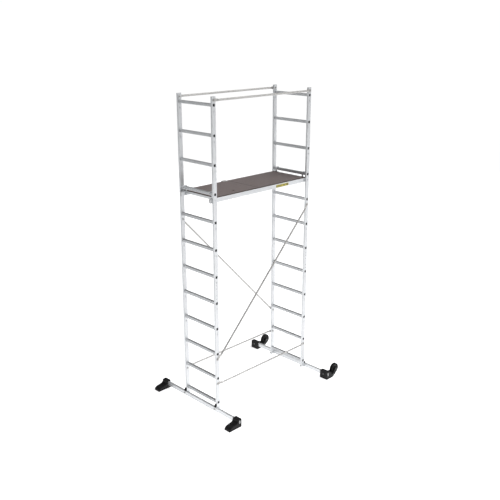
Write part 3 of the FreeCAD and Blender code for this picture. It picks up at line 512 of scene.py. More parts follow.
def make_label_field():
    """Printed vinyl: a pale yellow field, slightly sun-bleached."""
    look = Finish("label_field")
    fade = look.noise(30.0, (1, 1, 1), 4.0)
    base = tuple(colours().label)
    tone = look.mix(fade, base, tint(base, 1.08))
    return look.surface(Base_Color=tone, Roughness=0.30 + 0.12 * fade,
                        Normal=look.bump(fade, 0.00004))


def make_label_ink():
    """Dark print on the label."""
    look = Finish("label_ink")
    worn = look.noise(220.0, (1, 1, 1), 4.0)
    tone = look.mix(worn, (0.03, 0.03, 0.032), (0.09, 0.09, 0.09))
    return look.surface(Base_Color=tone, Roughness=0.34 + 0.14 * worn)


def make_floor():
    """Pale studio floor that fades out around the tower."""
    look = Finish("floor")
    cloud = look.noise(0.6, (1, 1, 1), 3.0)
    tone = look.mix(cloud, (0.93, 0.93, 0.935), (0.95, 0.95, 0.95))
    reach = look.node("ShaderNodeVectorMath", {"operation": "LENGTH"}, {0: look.place()})["Value"]
    fade = ((reach - FLOOR_CLEAR) * (1 / (FLOOR_REACH - FLOOR_CLEAR))).clamped()
    near = (1 - reach * (1 / FLOOR_CLEAR)).clamped()
    # it glows under the tower, to the right of it and behind it, so that it stays white
    x, y = look.axes()[:2]
    right = ((x - y) * 0.4).clamped()
    behind = ((x + y) * 0.5).clamped()
    level = (0.22 + 0.55 * near).larger(0.62 * right).larger(0.55 * behind)
    glow = look.mix(level, (0, 0, 0), (1.0, 1.0, 1.01))
    return look.surface(Base_Color=tone, Roughness=0.9, Specular_IOR_Level=0.1, Alpha=1 - fade,
                        Emission_Color=glow, Emission_Strength=1.0)


# ---------------------------------------------------------------- meshes

def rounded_loop(width, height, radius, steps=4):
    """Points of a rounded rectangle about the origin, anticlockwise."""
    points = []
    for quarter, (sx, sy) in enumerate(((1, 1), (-1, 1), (-1, -1), (1, -1))):
        centre = Vector((sx * (width / 2 - radius), sy * (height / 2 - radius)))
        for step in range(steps + 1):
            angle = math.pi / 2 * (quarter + step / steps)
            points.append(centre + radius * Vector((math.cos(angle), math.sin(angle))))
    return points


def ribbed_loop(size, radius, ribs, depth, steps=3):
    """Rounded square with shallow grooves between ribs on every face."""
    points = []
    half = size / 2
    flat = size - 2 * radius
    for quarter in range(4):
        turn = Matrix.Rotation(math.pi / 2 * quarter, 2)
        for step in range(steps + 1):
            angle = math.pi / 2 * step / steps
            corner = Vector((half - radius, half - radius))
            corner += radius * Vector((math.cos(angle), math.sin(angle)))
            points.append(turn @ corner)
        pitch = flat / (ribs + 0.5) if ribs else flat
        for rib in range(ribs):
            start = flat / 2 - pitch * (rib + 0.5)
            # one groove, in shares of the pitch: its two rims and its flat bottom
            for offset, sink in ((0, 0), (0.12, 1), (0.38, 1), (0.5, 0)):
                points.append(turn @ Vector((start - pitch * offset, half - depth * sink)))
    return points


def round_loop(radius, count):
    """Points of a circle about the origin."""
    turns = [2 * math.pi * i / count for i in range(count)]
    return [Vector((radius * math.cos(turn), radius * math.sin(turn))) for turn in turns]


def corner_arc(before, corner, after, radius, steps=5):
    """Points that round one corner of an outline."""
    back, on = (before - corner).normalized(), (after - corner).normalized()
    half = back.angle(on) / 2
    if radius <= 0 or half > math.radians(89):
        return [corner]
    cut = min(radius / math.tan(half), (before - corner).length / 2, (after - corner).length / 2)
    first, last = corner + back * cut, corner + on * cut
    points = []
    for step in range(steps + 1):
        t = step / steps
        points.append((1 - t) ** 2 * first + 2 * t * (1 - t) * corner + t * t * last)
    return points


def rounded_outline(corners):
    """Outline from (x, y, radius of the corner)."""
    spots = [Vector(corner[:2]) for corner in corners]
    loop = []
    for i, corner in enumerate(corners):
        loop += corner_arc(spots[i - 1], spots[i], spots[(i + 1) % len(spots)], corner[2])
    return loop


def inset(loop, amount):
    """An outline moved inwards by an amount, whichever way it runs."""
    count = len(loop)
    area = sum(loop[i - 1].x * loop[i].y - loop[i].x * loop[i - 1].y for i in range(count))
    turn = 1 if area > 0 else -1
    moved = []
    for i, point in enumerate(loop):
        a = (point - loop[i - 1]).normalized()
        b = (loop[(i + 1) % count] - point).normalized()
        normal = Vector((-(a.y + b.y), a.x + b.x)).normalized() * turn
        # a sharp corner moves no more than two and a half times the amount
        moved.append(point + normal * amount / max(0.4, normal.dot(Vector((-b.y, b.x)) * turn)))
    return moved


def shrunk(loop, amount):
    """A loop pulled in towards the origin by about that amount on each side."""
    widest = max(max(abs(p.x), abs(p.y)) for p in loop)
    return [p * (1 - amount / widest) for p in loop]


class Place:
    """Where a section goes: an origin, its two directions and the direction of travel."""

    def __init__(self, origin, along, across):
        self.origin = Vector(origin)
        self.along = Vector(along).normalized()
        self.u = Vector(across).normalized()
        self.v = self.along.cross(self.u)

    def ring(self, loop, travel):
        """Points of a section after that much travel."""
        base = self.origin + self.along * travel
        return [base + self.u * p[0] + self.v * p[1] for p in loop]


class Piece:
    """A mesh being built in metres in the tower's own frame."""

    def __init__(self, name):
        self.name = name
        self.bm = bmesh.new()
        self.materials = []

    def slot(self, material):
        if material not in self.materials:
            self.materials.append(material)
        return self.materials.index(material)

    def skin(self, rings, material, closed=False, capped=False):
        """Faces from each ring of points to the next."""
        index = self.slot(material)
        rows = [[self.bm.verts.new(p) for p in ring] for ring in rings]
        pairs = list(zip(rows, rows[1:]))
        if closed:
            pairs.append((rows[-1], rows[0]))
        made = []
        for low, high in pairs:
            count = len(low)
            for i in range(count):
                j = (i + 1) % count
                made.append(self.bm.faces.new((low[i], low[j], high[j], high[i])))
        if capped:
            made.append(self.bm.faces.new(list(reversed(rows[0]))))
            made.append(self.bm.faces.new(rows[-1]))
        for face in made:
            face.material_index = index
        return self

    def bar(self, place, loop, start, stop, material, edge=0.0):
        """Solid bar of a section with eased ends."""
        rings = [place.ring(loop, start), place.ring(loop, stop)]
        if edge:
            small = shrunk(loop, edge)
            rings = [place.ring(small, start), place.ring(loop, start + edge),
                     place.ring(loop, stop - edge), place.ring(small, stop)]
        return self.skin(rings, material, capped=True)

    def tube(self, place, outer, inner, length, material, edge=0.3 * MM, start=0.0):
        """Open tube of an outer and an inner section with eased ends."""
        small = shrunk(outer, edge)
        stop = start + length
        rings = [place.ring(small, start), place.ring(outer, start + edge),
                 place.ring(outer, stop - edge), place.ring(small, stop),
                 place.ring(inner, stop), place.ring(inner, start)]
        return self.skin(rings, material, closed=True)

    def turned(self, centre, axis, profile, material, count=48, closed=True):
        """Body of revolution; the profile is (radius, travel along the axis)."""
        place = Place(centre, axis, Vector(axis).orthogonal())
        rings = [place.ring(round_loop(radius, count), travel) for radius, travel in profile]
        return self.skin(rings, material, closed=closed, capped=not closed)

    def pillow(self, place, loop, start, stop, radius, material, steps=4):
        """Solid bar of an outline with round rims at both ends."""
        near, far = [], []
        for step in range(steps + 1):
            angle = math.pi / 2 * step / steps
            ring = inset(loop, radius * (1 - math.sin(angle)))
            travel = radius * (1 - math.cos(angle))
            near.append(place.ring(ring, start + travel))
            far.append(place.ring(ring, stop - travel))
        return self.skin(near + far[::-1], material, capped=True)

    def block(self, low, high, material, edge=0.0):
        """Box between two corners, eased along all its edges."""
        low, high = Vector(low), Vector(high)
        size = high - low
        index = self.slot(material)
        made = bmesh.ops.create_cube(self.bm, size=1.0)
        for vert in made["verts"]:
            vert.co = Vector((vert.co[i] * size[i] for i in range(3))) + (low + high) / 2
        faces = {face for vert in made["verts"] for face in vert.link_faces}
        if edge:
            edges = list(dict.fromkeys(e for vert in made["verts"] for e in vert.link_edges))
            result = bmesh.ops.bevel(self.bm, geom=edges, offset=edge, segments=2,
                                     affect="EDGES", profile=0.5)
            faces = {f for f in faces if f.is_valid} | set(result["faces"])
        for face in faces:
            face.material_index = index
        return self

    def build(self, smooth=30):
        """Turn the mesh into an object."""
        bmesh.ops.recalc_face_normals(self.bm, faces=self.bm.faces[:])
        mesh = bpy.data.meshes.new(self.name)
        self.bm.to_mesh(mesh)
        self.bm.free()
        for material in self.materials:
            mesh.materials.append(material)
        thing = bpy.data.objects.new(self.name, mesh)
        bpy.context.scene.collection.objects.link(thing)
        return settle(thing, smooth) if smooth else thing


def carve(thing, cutter):
    """Cut one object with another and drop the cutter."""
    modifier = thing.modifiers.new("carve", "BOOLEAN")
    modifier.operation = "DIFFERENCE"
    modifier.solver = "EXACT"
    modifier.object = cutter
    settle(thing)
    bpy.data.objects.remove(cutter, do_unlink=True)
    return thing


def applied(thing):
    """Replace an object's mesh by what its modifiers make of it."""
    bpy.context.view_layer.update()
    graph = bpy.context.evaluated_depsgraph_get()
    mesh = bpy.data.meshes.new_from_object(thing.evaluated_get(graph))
    thing.modifiers.clear()
    thing.data = mesh
    return mesh


def settle(thing, smooth=30):
    """Apply an object's modifiers, then shade its flats flat and its rounds round."""
    mesh = applied(thing) if thing.modifiers else thing.data
    mesh.shade_smooth()
    mesh.set_sharp_from_angle(angle=math.radians(smooth))
    normals = thing.modifiers.new("normals", "WEIGHTED_NORMAL")
    normals.keep_sharp = True
    normals.weight = 100
    applied(thing)
    return thing


def ease(thing, width, segments=2, angle=40):
    """Round the sharp edges of an object."""
    modifier = thing.modifiers.new("ease", "BEVEL")
    modifier.width = width
    modifier.segments = segments
    modifier.limit_method = "ANGLE"
    modifier.angle_limit = math.radians(angle)
    return settle(thing)


def dress(thing, body, material_slot, *nodes):
    """Let a piece ride on its body and stand for the CAD nodes that it details."""
    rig.ride(thing, body)
    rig.slot(thing, material_slot)
    if nodes:
        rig.replaces(thing, *nodes)


def middle(node):
    """Middle of a CAD node's box."""
    low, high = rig.box(node)
    return (low + high) / 2


def span(node):
    """Size of a CAD node's box along each axis."""
    low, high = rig.box(node)
    return high - low


def outward(node):
    """-1 for what stands at the front of the tower, 1 at the back."""
    return -1 if middle(node).y < 0 else 1


def copied(node, name, material):
    """A new piece that starts as the CAD node's shape, its flats merged to whole faces."""
    bm = bmesh.new()
    bm.from_mesh(frame["nodes"][node].data)
    bmesh.ops.remove_doubles(bm, verts=bm.verts[:], dist=0.01 * MM)
    bmesh.ops.dissolve_limit(bm, angle_limit=math.radians(1), verts=bm.verts[:],
                             edges=bm.edges[:])
    for face in bm.faces:
        face.material_index = 0
    mesh = bpy.data.meshes.new(name)
    bm.to_mesh(mesh)
    bm.free()
    mesh.materials.append(material)
    thing = bpy.data.objects.new(name, mesh)
    bpy.context.scene.collection.objects.link(thing)
    return thing


def loose_boxes(node):
    """Lowest and highest corner of each separate solid of a CAD node, in order of place."""
    bm = bmesh.new()
    bm.from_mesh(frame["nodes"][node].data)
    bmesh.ops.remove_doubles(bm, verts=bm.verts[:], dist=0.01 * MM)
    waiting = set(bm.verts)
    found = []
    while waiting:
        reached = [waiting.pop()]
        spots = []
        while reached:
            vert = reached.pop()
            spots.append(vert.co.copy())
            for edge in vert.link_edges:
                other = edge.other_vert(vert)
                if other in waiting:
                    waiting.remove(other)
                    reached.append(other)
        found.append((Vector(min(p[i] for p in spots) for i in range(3)),
                      Vector(max(p[i] for p in spots) for i in range(3))))
    bm.free()
    return sorted(found, key=lambda corners: tuple(corners[0]))


def give(node, material):
    """Give a CAD node's object a finish."""
    mesh = frame["nodes"][node].data
    mesh.materials.clear()
    mesh.materials.append(material)


def ladder_x(end):
    return middle(f"lower_stile_{end}_front").x


def rung_z(number):
    return middle(f"rung_shoe_end_{number}").z


# ---------------------------------------------------------------- ladder frames

# every rung has a bolt hole the same way below it, in both stiles
HOLE_DROP = rung_z("02") - middle("horizontal_brace_front").z
HOLE_RADIUS = 5.2 * MM
RUNG_CORNER = 2.2 * MM
# what the rung's opening in a stile is wider than the rung
RUNG_PLAY = 0.1 * MM
# the rolled rim of a rung end, which stands out from the rung on every side
FLARE_STANDS = 1.2 * MM
FLARE_LENGTH = 1.4 * MM
# length of a rung's black plug, which paints the shade inside its open end, and how far in the other plugs reach
RUNG_PLUG = 9 * MM
END_PLUG = 14 * MM
HEAD_PLUG = 16 * MM
# heights of the rivets from the joint of two stiles, and the radius of their heads
JOINT_RIVETS = (-72 * MM, -36 * MM, 36 * MM, 72 * MM)
JOINT_RIVET = 3.6 * MM


def hole_cutter(name, spots, loop, along, across, reach):
    """Bars that cut a hole at each spot."""
    cutter = Piece(name)
    for spot in spots:
        cutter.bar(Place(spot, along, across), loop, -reach, reach, None)
    return cutter.build(smooth=None)


def add_stile(level, end, side):
    """Rectangular tube with a rounded section, rung openings and bolt holes."""
    node = f"{level}_stile_{end}_{side}"
    low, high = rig.box(node)
    size = high - low
    corner, wall = sizes().tube_corner, sizes().tube_wall
    spot = middle(node)
    piece = Piece("stile_" + node.replace("_stile", ""))
    piece.tube(Place((spot.x, spot.y, low.z), Z, X), rounded_loop(size.x, size.y, corner),
               rounded_loop(size.x - 2 * wall, size.y - 2 * wall, corner - wall), size.z,
               finish("extruded_aluminium", "Z"), edge=0.6 * MM)
    stile = piece.build()
    heights = [rung_z(n) for n in RUNGS if low.z < rung_z(n) < high.z]
    rung = span("rung_shoe_end_01").z + RUNG_PLAY
    rungs = [(spot.x, spot.y, z) for z in heights]
    holes = [(spot.x, spot.y, z - HOLE_DROP) for z in heights]
    carve(stile, hole_cutter("rung_openings", rungs, rounded_loop(rung, rung, 1.6 * MM, 2),
                             Y, X, size.y))
    carve(stile, hole_cutter("bolt_holes", holes, round_loop(HOLE_RADIUS, 24), Y, X, size.y))
    dress(stile, "frame", "aluminium_profile", node)
    if level == "upper":
        plug = Piece(f"head_plug_{end}_{side}")
        plug.bar(Place((spot.x, spot.y, high.z), -Z, X),
                 rounded_loop(size.x - 2 * wall, size.y - 2 * wall, corner - wall),
                 0.5 * MM, HEAD_PLUG, finish("end_plug"), edge=0.8 * MM)
        dress(plug.build(), "frame", "moulded_plastic")


class SCAFFOLD_OT_stiles(bpy.types.Operator):
    """Add the eight stile tubes of the two ladder frames"""
    bl_idname = "scaffold.stiles"
    bl_label = "Stiles"

    def execute(self, context):
        for level in ("lower", "upper"):
            for end in ENDS:
                for side in SIDES:
                    add_stile(level, end, side)
        return {"FINISHED"}


def bore_for(outer, width, height):
    """Inner section of a tube with as many points as the outer one, at the same bearings."""
    bore = []
    for point in outer:
        reach = min(width / 2 / max(abs(point.x), TINY), height / 2 / max(abs(point.y), TINY))
        bore.append(point * min(1.0, reach))
    return bore


def add_rung(end, number):
    """Ribbed square tube, flared over the stiles, with a black plug set in each open end as painted shade for its
    hollow.
    """
    node = f"rung_{end}_{number}"
    low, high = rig.box(node)
    size = high - low
    spot = middle(node)
    tread = finish("ribbed_aluminium", "tread")
    riser = finish("ribbed_aluminium", "side")
    place = Place((spot.x, low.y, spot.z), Y, X)
    wall = sizes().tube_wall
    piece = Piece("rung_tube_" + node[5:])
    outer = ribbed_loop(size.x, RUNG_CORNER, sizes().rib_count, sizes().rib_depth)
    bore = bore_for(outer, size.x - 2 * wall, size.z - 2 * wall)
    piece.tube(place, outer, bore, size.y, tread)
    flare = rounded_loop(size.x + 2 * FLARE_STANDS, size.z + 2 * FLARE_STANDS, 3 * MM, 3)
    flare_bore = rounded_loop(size.x - 0.6 * MM, size.z - 0.6 * MM, 1.8 * MM, 3)
    plug = rounded_loop(size.x - wall, size.z - wall, 1.6 * MM, 3)
    recess = sizes().plug_recess
    for y, way in ((low.y, Y), (high.y, -Y)):
        mouth = Place((spot.x, y, spot.z), way, X)
        piece.tube(mouth, flare, flare_bore, FLARE_LENGTH, tread, edge=0.4 * MM,
                   start=-FLARE_LENGTH / 2)
        # painted shade: a black plug just inside each open end stands in for the shade in the hollow of the tube
        piece.bar(mouth, plug, recess, recess + RUNG_PLUG, finish("moulded_plastic"),
                  edge=0.6 * MM)
    tube = piece.build()
    # painted shade: faces that look up or down keep the darker tread grey, the others take the plain aluminium grey
    tube.data.materials.append(riser)
    for face in tube.data.polygons:
        if face.material_index == 0 and abs(face.normal.z) < 0.7:
            face.material_index = len(tube.data.materials) - 1
    dress(tube, "frame", "ribbed_aluminium", node)


class SCAFFOLD_OT_rungs(bpy.types.Operator):
    """Add the ribbed rungs with their flared ends and black end plugs that paint the shade inside their open ends"""
    bl_idname = "scaffold.rungs"
    bl_label = "Rungs"

    def execute(self, context):
        for end in ENDS:
            for number in RUNGS:
                add_rung(end, number)
        return {"FINISHED"}


class SCAFFOLD_OT_joints(bpy.types.Operator):
    """Add the rivets that hold the joint spigots, and finish the spigots"""
    bl_idname = "scaffold.joints"
    bl_label = "Section joints"

    def execute(self, context):
        give("stile_joint_spigots", finish("extruded_aluminium", "Z"))
        for end in ENDS:
            for side in SIDES:
                low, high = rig.box(f"lower_stile_{end}_{side}")
                out = outward(f"lower_stile_{end}_{side}")
                face = high.y if out > 0 else low.y
                piece = Piece(f"joint_rivets_{end}_{side}")
                for rise in JOINT_RIVETS:
                    rivet(piece, (ladder_x(end), face, high.z + rise), Y * out, JOINT_RIVET,
                          finish("dark_steel"))
                dress(piece.build(), "frame", "zinc_fasteners")
        return {"FINISHED"}


# ---------------------------------------------------------------- fasteners

# a bolt: the circle over its head's corners, the head's height, its shank and its washers
BOLT_CIRCLE = 18 * MM
BOLT_HEIGHT = 6 * MM
BOLT_SHANK = 5 * MM
HEAD_WASHER = 10 * MM
NUT_WASHER = 9.5 * MM
WASHER = 1.6 * MM
# thickness of a brace's pressed end
FLAT = 4 * MM


def rivet(piece, point, way, radius, material=None):
    """Domed blind-rivet head with its broken-off mandrel."""
    rise = radius * 0.42
    piece.turned(point, way, [
        (radius, -0.3 * MM), (radius, rise * 0.25), (radius * 0.86, rise * 0.7),
        (radius * 0.55, rise), (radius * 0.38, rise), (radius * 0.34, rise * 0.6),
        (radius * 0.12, rise * 0.6)], material or finish("zinc"), count=20, closed=False)


def hex_loop(circle, count=36):
    """Points of a hexagon over its corners, with extra points along its sides."""
    flat = circle / 2 * math.cos(math.pi / 6)
    points = []
    for i in range(count):
        angle = 2 * math.pi * i / count
        radius = flat / math.cos((angle + math.pi / 6) % (math.pi / 3) - math.pi / 6)
        points.append(Vector((radius * math.cos(angle), radius * math.sin(angle))))
    return points


def hex_head(piece, point, way, across, circle, height, shank=0.0, metal="zinc"):
    """Hexagon head or nut with its corners chamfered; a shank end shows in a nut."""
    place = Place(point, way, across)
    hexagon = hex_loop(circle)
    flat = circle / 2 * math.cos(math.pi / 6)
    chamfer = [p * min(1.0, flat * 1.03 / p.length) for p in hexagon]
    top = round_loop(flat * 0.93, len(hexagon))
    rings = [place.ring(chamfer, 0), place.ring(hexagon, height * 0.08),
             place.ring(hexagon, height * 0.82), place.ring(chamfer, height * 0.94),
             place.ring(top, height)]
    if shank:
        for radius, rise in ((shank, 0), (shank, 1.2 * MM), (shank * 0.8, 2 * MM)):
            rings.append(place.ring(round_loop(radius, len(hexagon)), height + rise))
    piece.skin(rings, finish(metal), capped=True)


def washer(piece, point, way, radius, metal="zinc"):
    ease_off = 0.3 * MM
    piece.turned(point, way, [(radius - ease_off, 0), (radius, ease_off),
                              (radius, WASHER - ease_off), (radius - ease_off, WASHER)],
                 finish(metal), count=36, closed=False)


def hex_bolt(piece, face, way, across, grip=None, metal="zinc"):
    """Bolt head on a washer, and with a grip its nut on the far side."""
    face, way = Vector(face), Vector(way)
    washer(piece, face, way, HEAD_WASHER, metal)
    hex_head(piece, face + way * WASHER, way, across, BOLT_CIRCLE, BOLT_HEIGHT, metal=metal)
    if grip:
        back = face - way * grip
        washer(piece, back, -way, NUT_WASHER)
        hex_head(piece, back - way * WASHER, -way, across, BOLT_CIRCLE, BOLT_HEIGHT, BOLT_SHANK)


# the rung under which each end of a brace is bolted
BRACES = {
    "diagonal_brace_front": (("shoe_end", "03"), ("wheel_end", "08")),
    "diagonal_brace_back": (("shoe_end", "08"), ("wheel_end", "03")),
    "horizontal_brace_front": (("shoe_end", "02"), ("wheel_end", "02")),
    "horizontal_brace_back": (("shoe_end", "02"), ("wheel_end", "02")),
}


def stile_face(side):
    """Outer face of the stiles on a side."""
    low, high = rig.box(f"lower_stile_shoe_end_{side}")
    return high.y if side == "back" else low.y


def tube_ends(node):
    """The two bolt points of a brace or guardrail on the stiles' outer faces."""
    face = stile_face(node.split("_")[-1])
    if node in BRACES:
        return [Vector((ladder_x(end), face, rung_z(rung) - HOLE_DROP))
                for end, rung in BRACES[node]]
    return [Vector((ladder_x(end), face, middle(node).z)) for end in ENDS]


class SCAFFOLD_OT_bolts(bpy.types.Operator):
    """Add the bolts of the braces, the guardrails and the base"""
    bl_idname = "scaffold.bolts"
    bl_label = "Bolts"

    def execute(self, context):
        stile = span("lower_stile_shoe_end_front")
        tubes = [n for n in frame["nodes"] if "brace_" in n and n != "brace_bolts"]
        tubes += ["guardrail_front", "guardrail_back"]
        brace_bolts = Piece("brace_bolt_set")
        for node in sorted(tubes):
            way = Y * outward(node)
            for point in tube_ends(node):
                hex_bolt(brace_bolts, point + way * FLAT, way, Z, FLAT + stile.y)
        dress(brace_bolts.build(), "frame", "zinc_fasteners", "brace_bolts")
        base_bolts = Piece("base_bolt_set")
        for end in ENDS:
            beam = middle(f"base_beam_{end}")
            width = span(f"base_beam_{end}").x
            way = X * (1 if end == "wheel_end" else -1)
            foot = "shoe_" if end == "shoe_end" else "wheel_bracket_"
            for side in SIDES:
                y = middle(f"lower_stile_{end}_{side}").y
                hex_bolt(base_bolts, (beam.x + way.x * width / 2, y, beam.z), way, Z,
                         width + stile.x)
                low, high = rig.box(foot + side)
                heel = low.x if end == "wheel_end" else high.x
                hex_bolt(base_bolts, (heel, middle(foot + side).y, beam.z), -way, Z,
                         metal="dark_steel")
        dress(base_bolts.build(), "frame", "zinc_fasteners", "base_bolts")
        return {"FINISHED"}


# ---------------------------------------------------------------- braces and guardrails

def pressed_loop(width, height, power, count=32):
    """Superellipse: round at power 2, nearly a flat bar at high powers."""
    points = []
    for i in range(count):
        angle = 2 * math.pi * (i + 0.5) / count
        c, s = math.cos(angle), math.sin(angle)
        points.append(Vector((width / 2 * math.copysign(abs(c) ** (2 / power), c),
                              height / 2 * math.copysign(abs(s) ** (2 / power), s))))
    return points


# a pressed end: its width and length, the neck to the round tube, and what stands past the bolt
FLAT_WIDTH = 27 * MM
FLAT_LENGTH = 46 * MM
FLAT_NECK = 34 * MM
FLAT_MARGIN = 16 * MM
FLAT_POWER = 8.0
ROUND_POWER = 2.0
TIP_STEPS = 5
NECK_STEPS = 9


def add_pressed_tube(node, name):
    """Round tube whose ends are pressed flat on the stiles and rounded in plan."""
    start, end = tube_ends(node)
    along = (end - start).normalized()
    out = outward(node)
    diameter = span(node).y
    length = (end - start).length + 2 * FLAT_MARGIN
    place = Place(start - along * FLAT_MARGIN, along, Vector((-along.z, 0, along.x)))
    toward = place.v.y * out

    def section(width, height, power, travel):
        shift = toward * height / 2
        loop = [Vector((p[0], p[1] + shift)) for p in pressed_loop(width, height, power)]
        return place.ring(loop, travel)

    tip = FLAT_WIDTH * 0.42
    stations = []
    for step in range(TIP_STEPS + 1):
        angle = math.pi / 2 * step / TIP_STEPS
        width = FLAT_WIDTH - 2 * tip * (1 - math.sin(angle)) * 0.9
        stations.append((width, FLAT, FLAT_POWER, tip * (1 - math.cos(angle))))
    stations.append((FLAT_WIDTH, FLAT, FLAT_POWER, FLAT_LENGTH))
    for step in range(1, NECK_STEPS + 1):
        way = step / NECK_STEPS
        grown = way * way * (3 - 2 * way)
        power = ROUND_POWER + (FLAT_POWER - ROUND_POWER) * (1 - grown) ** 2
        stations.append((FLAT_WIDTH + (diameter - FLAT_WIDTH) * grown,
                         FLAT + (diameter - FLAT) * grown, power, FLAT_LENGTH + FLAT_NECK * way))
    stations += [(w, h, p, length - t) for w, h, p, t in reversed(stations)]
    piece = Piece(name)
    piece.skin([section(*station) for station in stations], finish("galvanised_steel"),
               capped=True)
    dress(piece.build(smooth=50), "frame", "galvanised_tube", node)


class SCAFFOLD_OT_braces(bpy.types.Operator):
    """Add the diagonal and horizontal braces and the two guardrails"""
    bl_idname = "scaffold.braces"
    bl_label = "Braces and guardrails"

    def execute(self, context):
        for node in list(BRACES) + ["guardrail_front", "guardrail_back"]:
            add_pressed_tube(node, "tube_" + node)
        return {"FINISHED"}


# ---------------------------------------------------------------- base

BEAM_WALL = 2.5 * MM
# thickness of a foot's sole, and the width and depth of the groove above it
SOLE = 12 * MM
GROOVE = 2.2 * MM
SINK = 1.6 * MM
# depth of the lip round a beam's end, the size of its opening, and how far that is off middle
LIP = 3 * MM
MOUTH = (17 * MM, 38 * MM)
SHOE_MOUTH_SHIFT = 2.6 * MM
BRACKET_MOUTH_SHIFT = -3.2 * MM
SCREW_HOLE = 5.3 * MM
# parts of outlines in mm, each point with its corner radius: a shoe's back from the middle of
# the beam and the ground, and in plan a web from its root in the wheel bracket's block
SHOE_BACK = ((-28, 66, 12), (-45, 52, 16), (-80, 45, 22))
BRACKET_WEB = ((0, 0, 0.5), (72, 0, 1.5), (72, 4, 3), (24, 21, 12), (0, 21, 0.5))
# top slots of a shoe: their middles along the beam and their two ends across it, both in mm
SLOT_MIDDLES = (-17, 17)
SLOT_ACROSS = (-16, 14)
SLOT_HALF = 7 * MM
SLOT_DEPTH = 3 * MM
# treads on a shoe's toe: place across the beam and height of the first, and from each to the
# next, both in mm
TREADS = 4
TREAD_FIRST = (-58, 48.4)
TREAD_STEP = (-13, -1.9)
TREAD_WIDTH = 4 * MM
TREAD_DEPTH = 1.6 * MM
TREAD_MARGIN = 12 * MM
# recess round the bolt of a wheel bracket, and the island left in its middle
RECESS = (62 * MM, 54 * MM)
ISLAND = 30 * MM
# webs of a wheel bracket: their root from the beam, their place off the middle and their top
WEB_ROOT = 61 * MM
WEB_SPREAD = 31.6 * MM
WEB_HEIGHT = 38 * MM


class SCAFFOLD_OT_base_beams(bpy.types.Operator):
    """Add the two base beams and the wedges that steady the stiles on them"""
    bl_idname = "scaffold.base_beams"
    bl_label = "Base beams"

    def execute(self, context):
        for end in ENDS:
            node = f"base_beam_{end}"
            low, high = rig.box(node)
            size = high - low
            spot = middle(node)
            bore = rounded_loop(size.x - 2 * BEAM_WALL, size.z - 2 * BEAM_WALL, 1 * MM)
            piece = Piece("beam_" + end)
            piece.tube(Place((spot.x, low.y, spot.z), Y, X), rounded_loop(size.x, size.z, 3 * MM),
                       bore, size.y - 2 * LIP, finish("extruded_aluminium", "Y"),
                       edge=0.5 * MM, start=LIP)
            dress(piece.build(), "frame", "aluminium_profile", node)
            plugs = Piece("beam_plugs_" + end)
            for y, way in ((low.y, Y), (high.y, -Y)):
                plugs.bar(Place((spot.x, y, spot.z), way, X), bore, LIP + 0.6 * MM, END_PLUG,
                          finish("end_plug"), edge=0.8 * MM)
            dress(plugs.build(), "frame", "moulded_plastic")
        wedges = copied("stile_locators", "stile_wedges", finish("moulded_plastic"))
        dress(ease(wedges, 1.5 * MM, 3), "frame", "moulded_plastic", "stile_locators")
        return {"FINISHED"}


def scaled(corners):
    """Corners of an outline in metres, from millimetres."""
    return [tuple(value * MM for value in corner) for corner in corners]


def box_cutter(name, *spans):
    """Cutter of plain boxes, each between two corners."""
    cutter = Piece(name)
    for low, high in spans:
        cutter.block(low, high, None)
    return cutter.build(smooth=None)


def sole_groove(name, low, high):
    """Cutter of the groove that parts the sole from the foot above it, all round."""
    size = high - low
    centre = (low + high) / 2
    ring = Piece(name)
    ring.tube(Place((centre.x, centre.y, low.z + SOLE), Z, X),
              rounded_loop(size.x + 20 * MM, size.y + 20 * MM, 4 * MM),
              rounded_loop(size.x - 2 * SINK, size.y - 2 * SINK, 4 * MM), GROOVE, None, edge=0)
    return ring.build(smooth=None)


def add_lip(node, name, beam, shift):
    """Lip that frames the beam's end in the foot's outer face."""
    low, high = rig.box(node)
    out = outward(node)
    face = high.y if out > 0 else low.y
    spot, size = middle(beam), span(beam)
    frame_loop = rounded_loop(size.x + 0.6 * MM, size.z + 0.6 * MM, 1 * MM)
    mouth = [p + Vector((shift, 0)) for p in rounded_loop(*MOUTH, 3 * MM)]
    piece = Piece(name)
    piece.tube(Place((spot.x, face, spot.z), Y * -out, X), frame_loop, mouth, LIP - 0.1 * MM,
               finish("moulded_plastic"), edge=0.3 * MM)
    dress(piece.build(), "frame", "moulded_plastic")


def cut_foot(foot, node, beam):
    """Cut the beam's bore, the foot screw's hole and the sole groove."""
    spot, size = middle(beam), span(beam)
    low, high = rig.box(node)
    place = (spot.x, (low.y + high.y) / 2, spot.z)
    bore = rounded_loop(size.x + 0.1 * MM, size.z + 0.1 * MM, 3 * MM)
    carve(foot, hole_cutter("bore", [place], bore, Y, X, high.y - low.y))
    carve(foot, hole_cutter("screw_hole", [place], round_loop(SCREW_HOLE, 24), X, Y,
                            high.x - low.x))
    return carve(foot, sole_groove("groove", low, high))


def shoe_outline(heel, toe, top):
    """Side outline of a shoe, from its heel and toe in mm and its height."""
    return rounded_outline(scaled((
        (heel, 0, 0.5), (heel, top, 7), (-25, top, 11), *SHOE_BACK,
        (toe + 26, 40, 16), (toe + 3, 24, 12), (toe, 6, 3), (toe, 0, 0.5))))


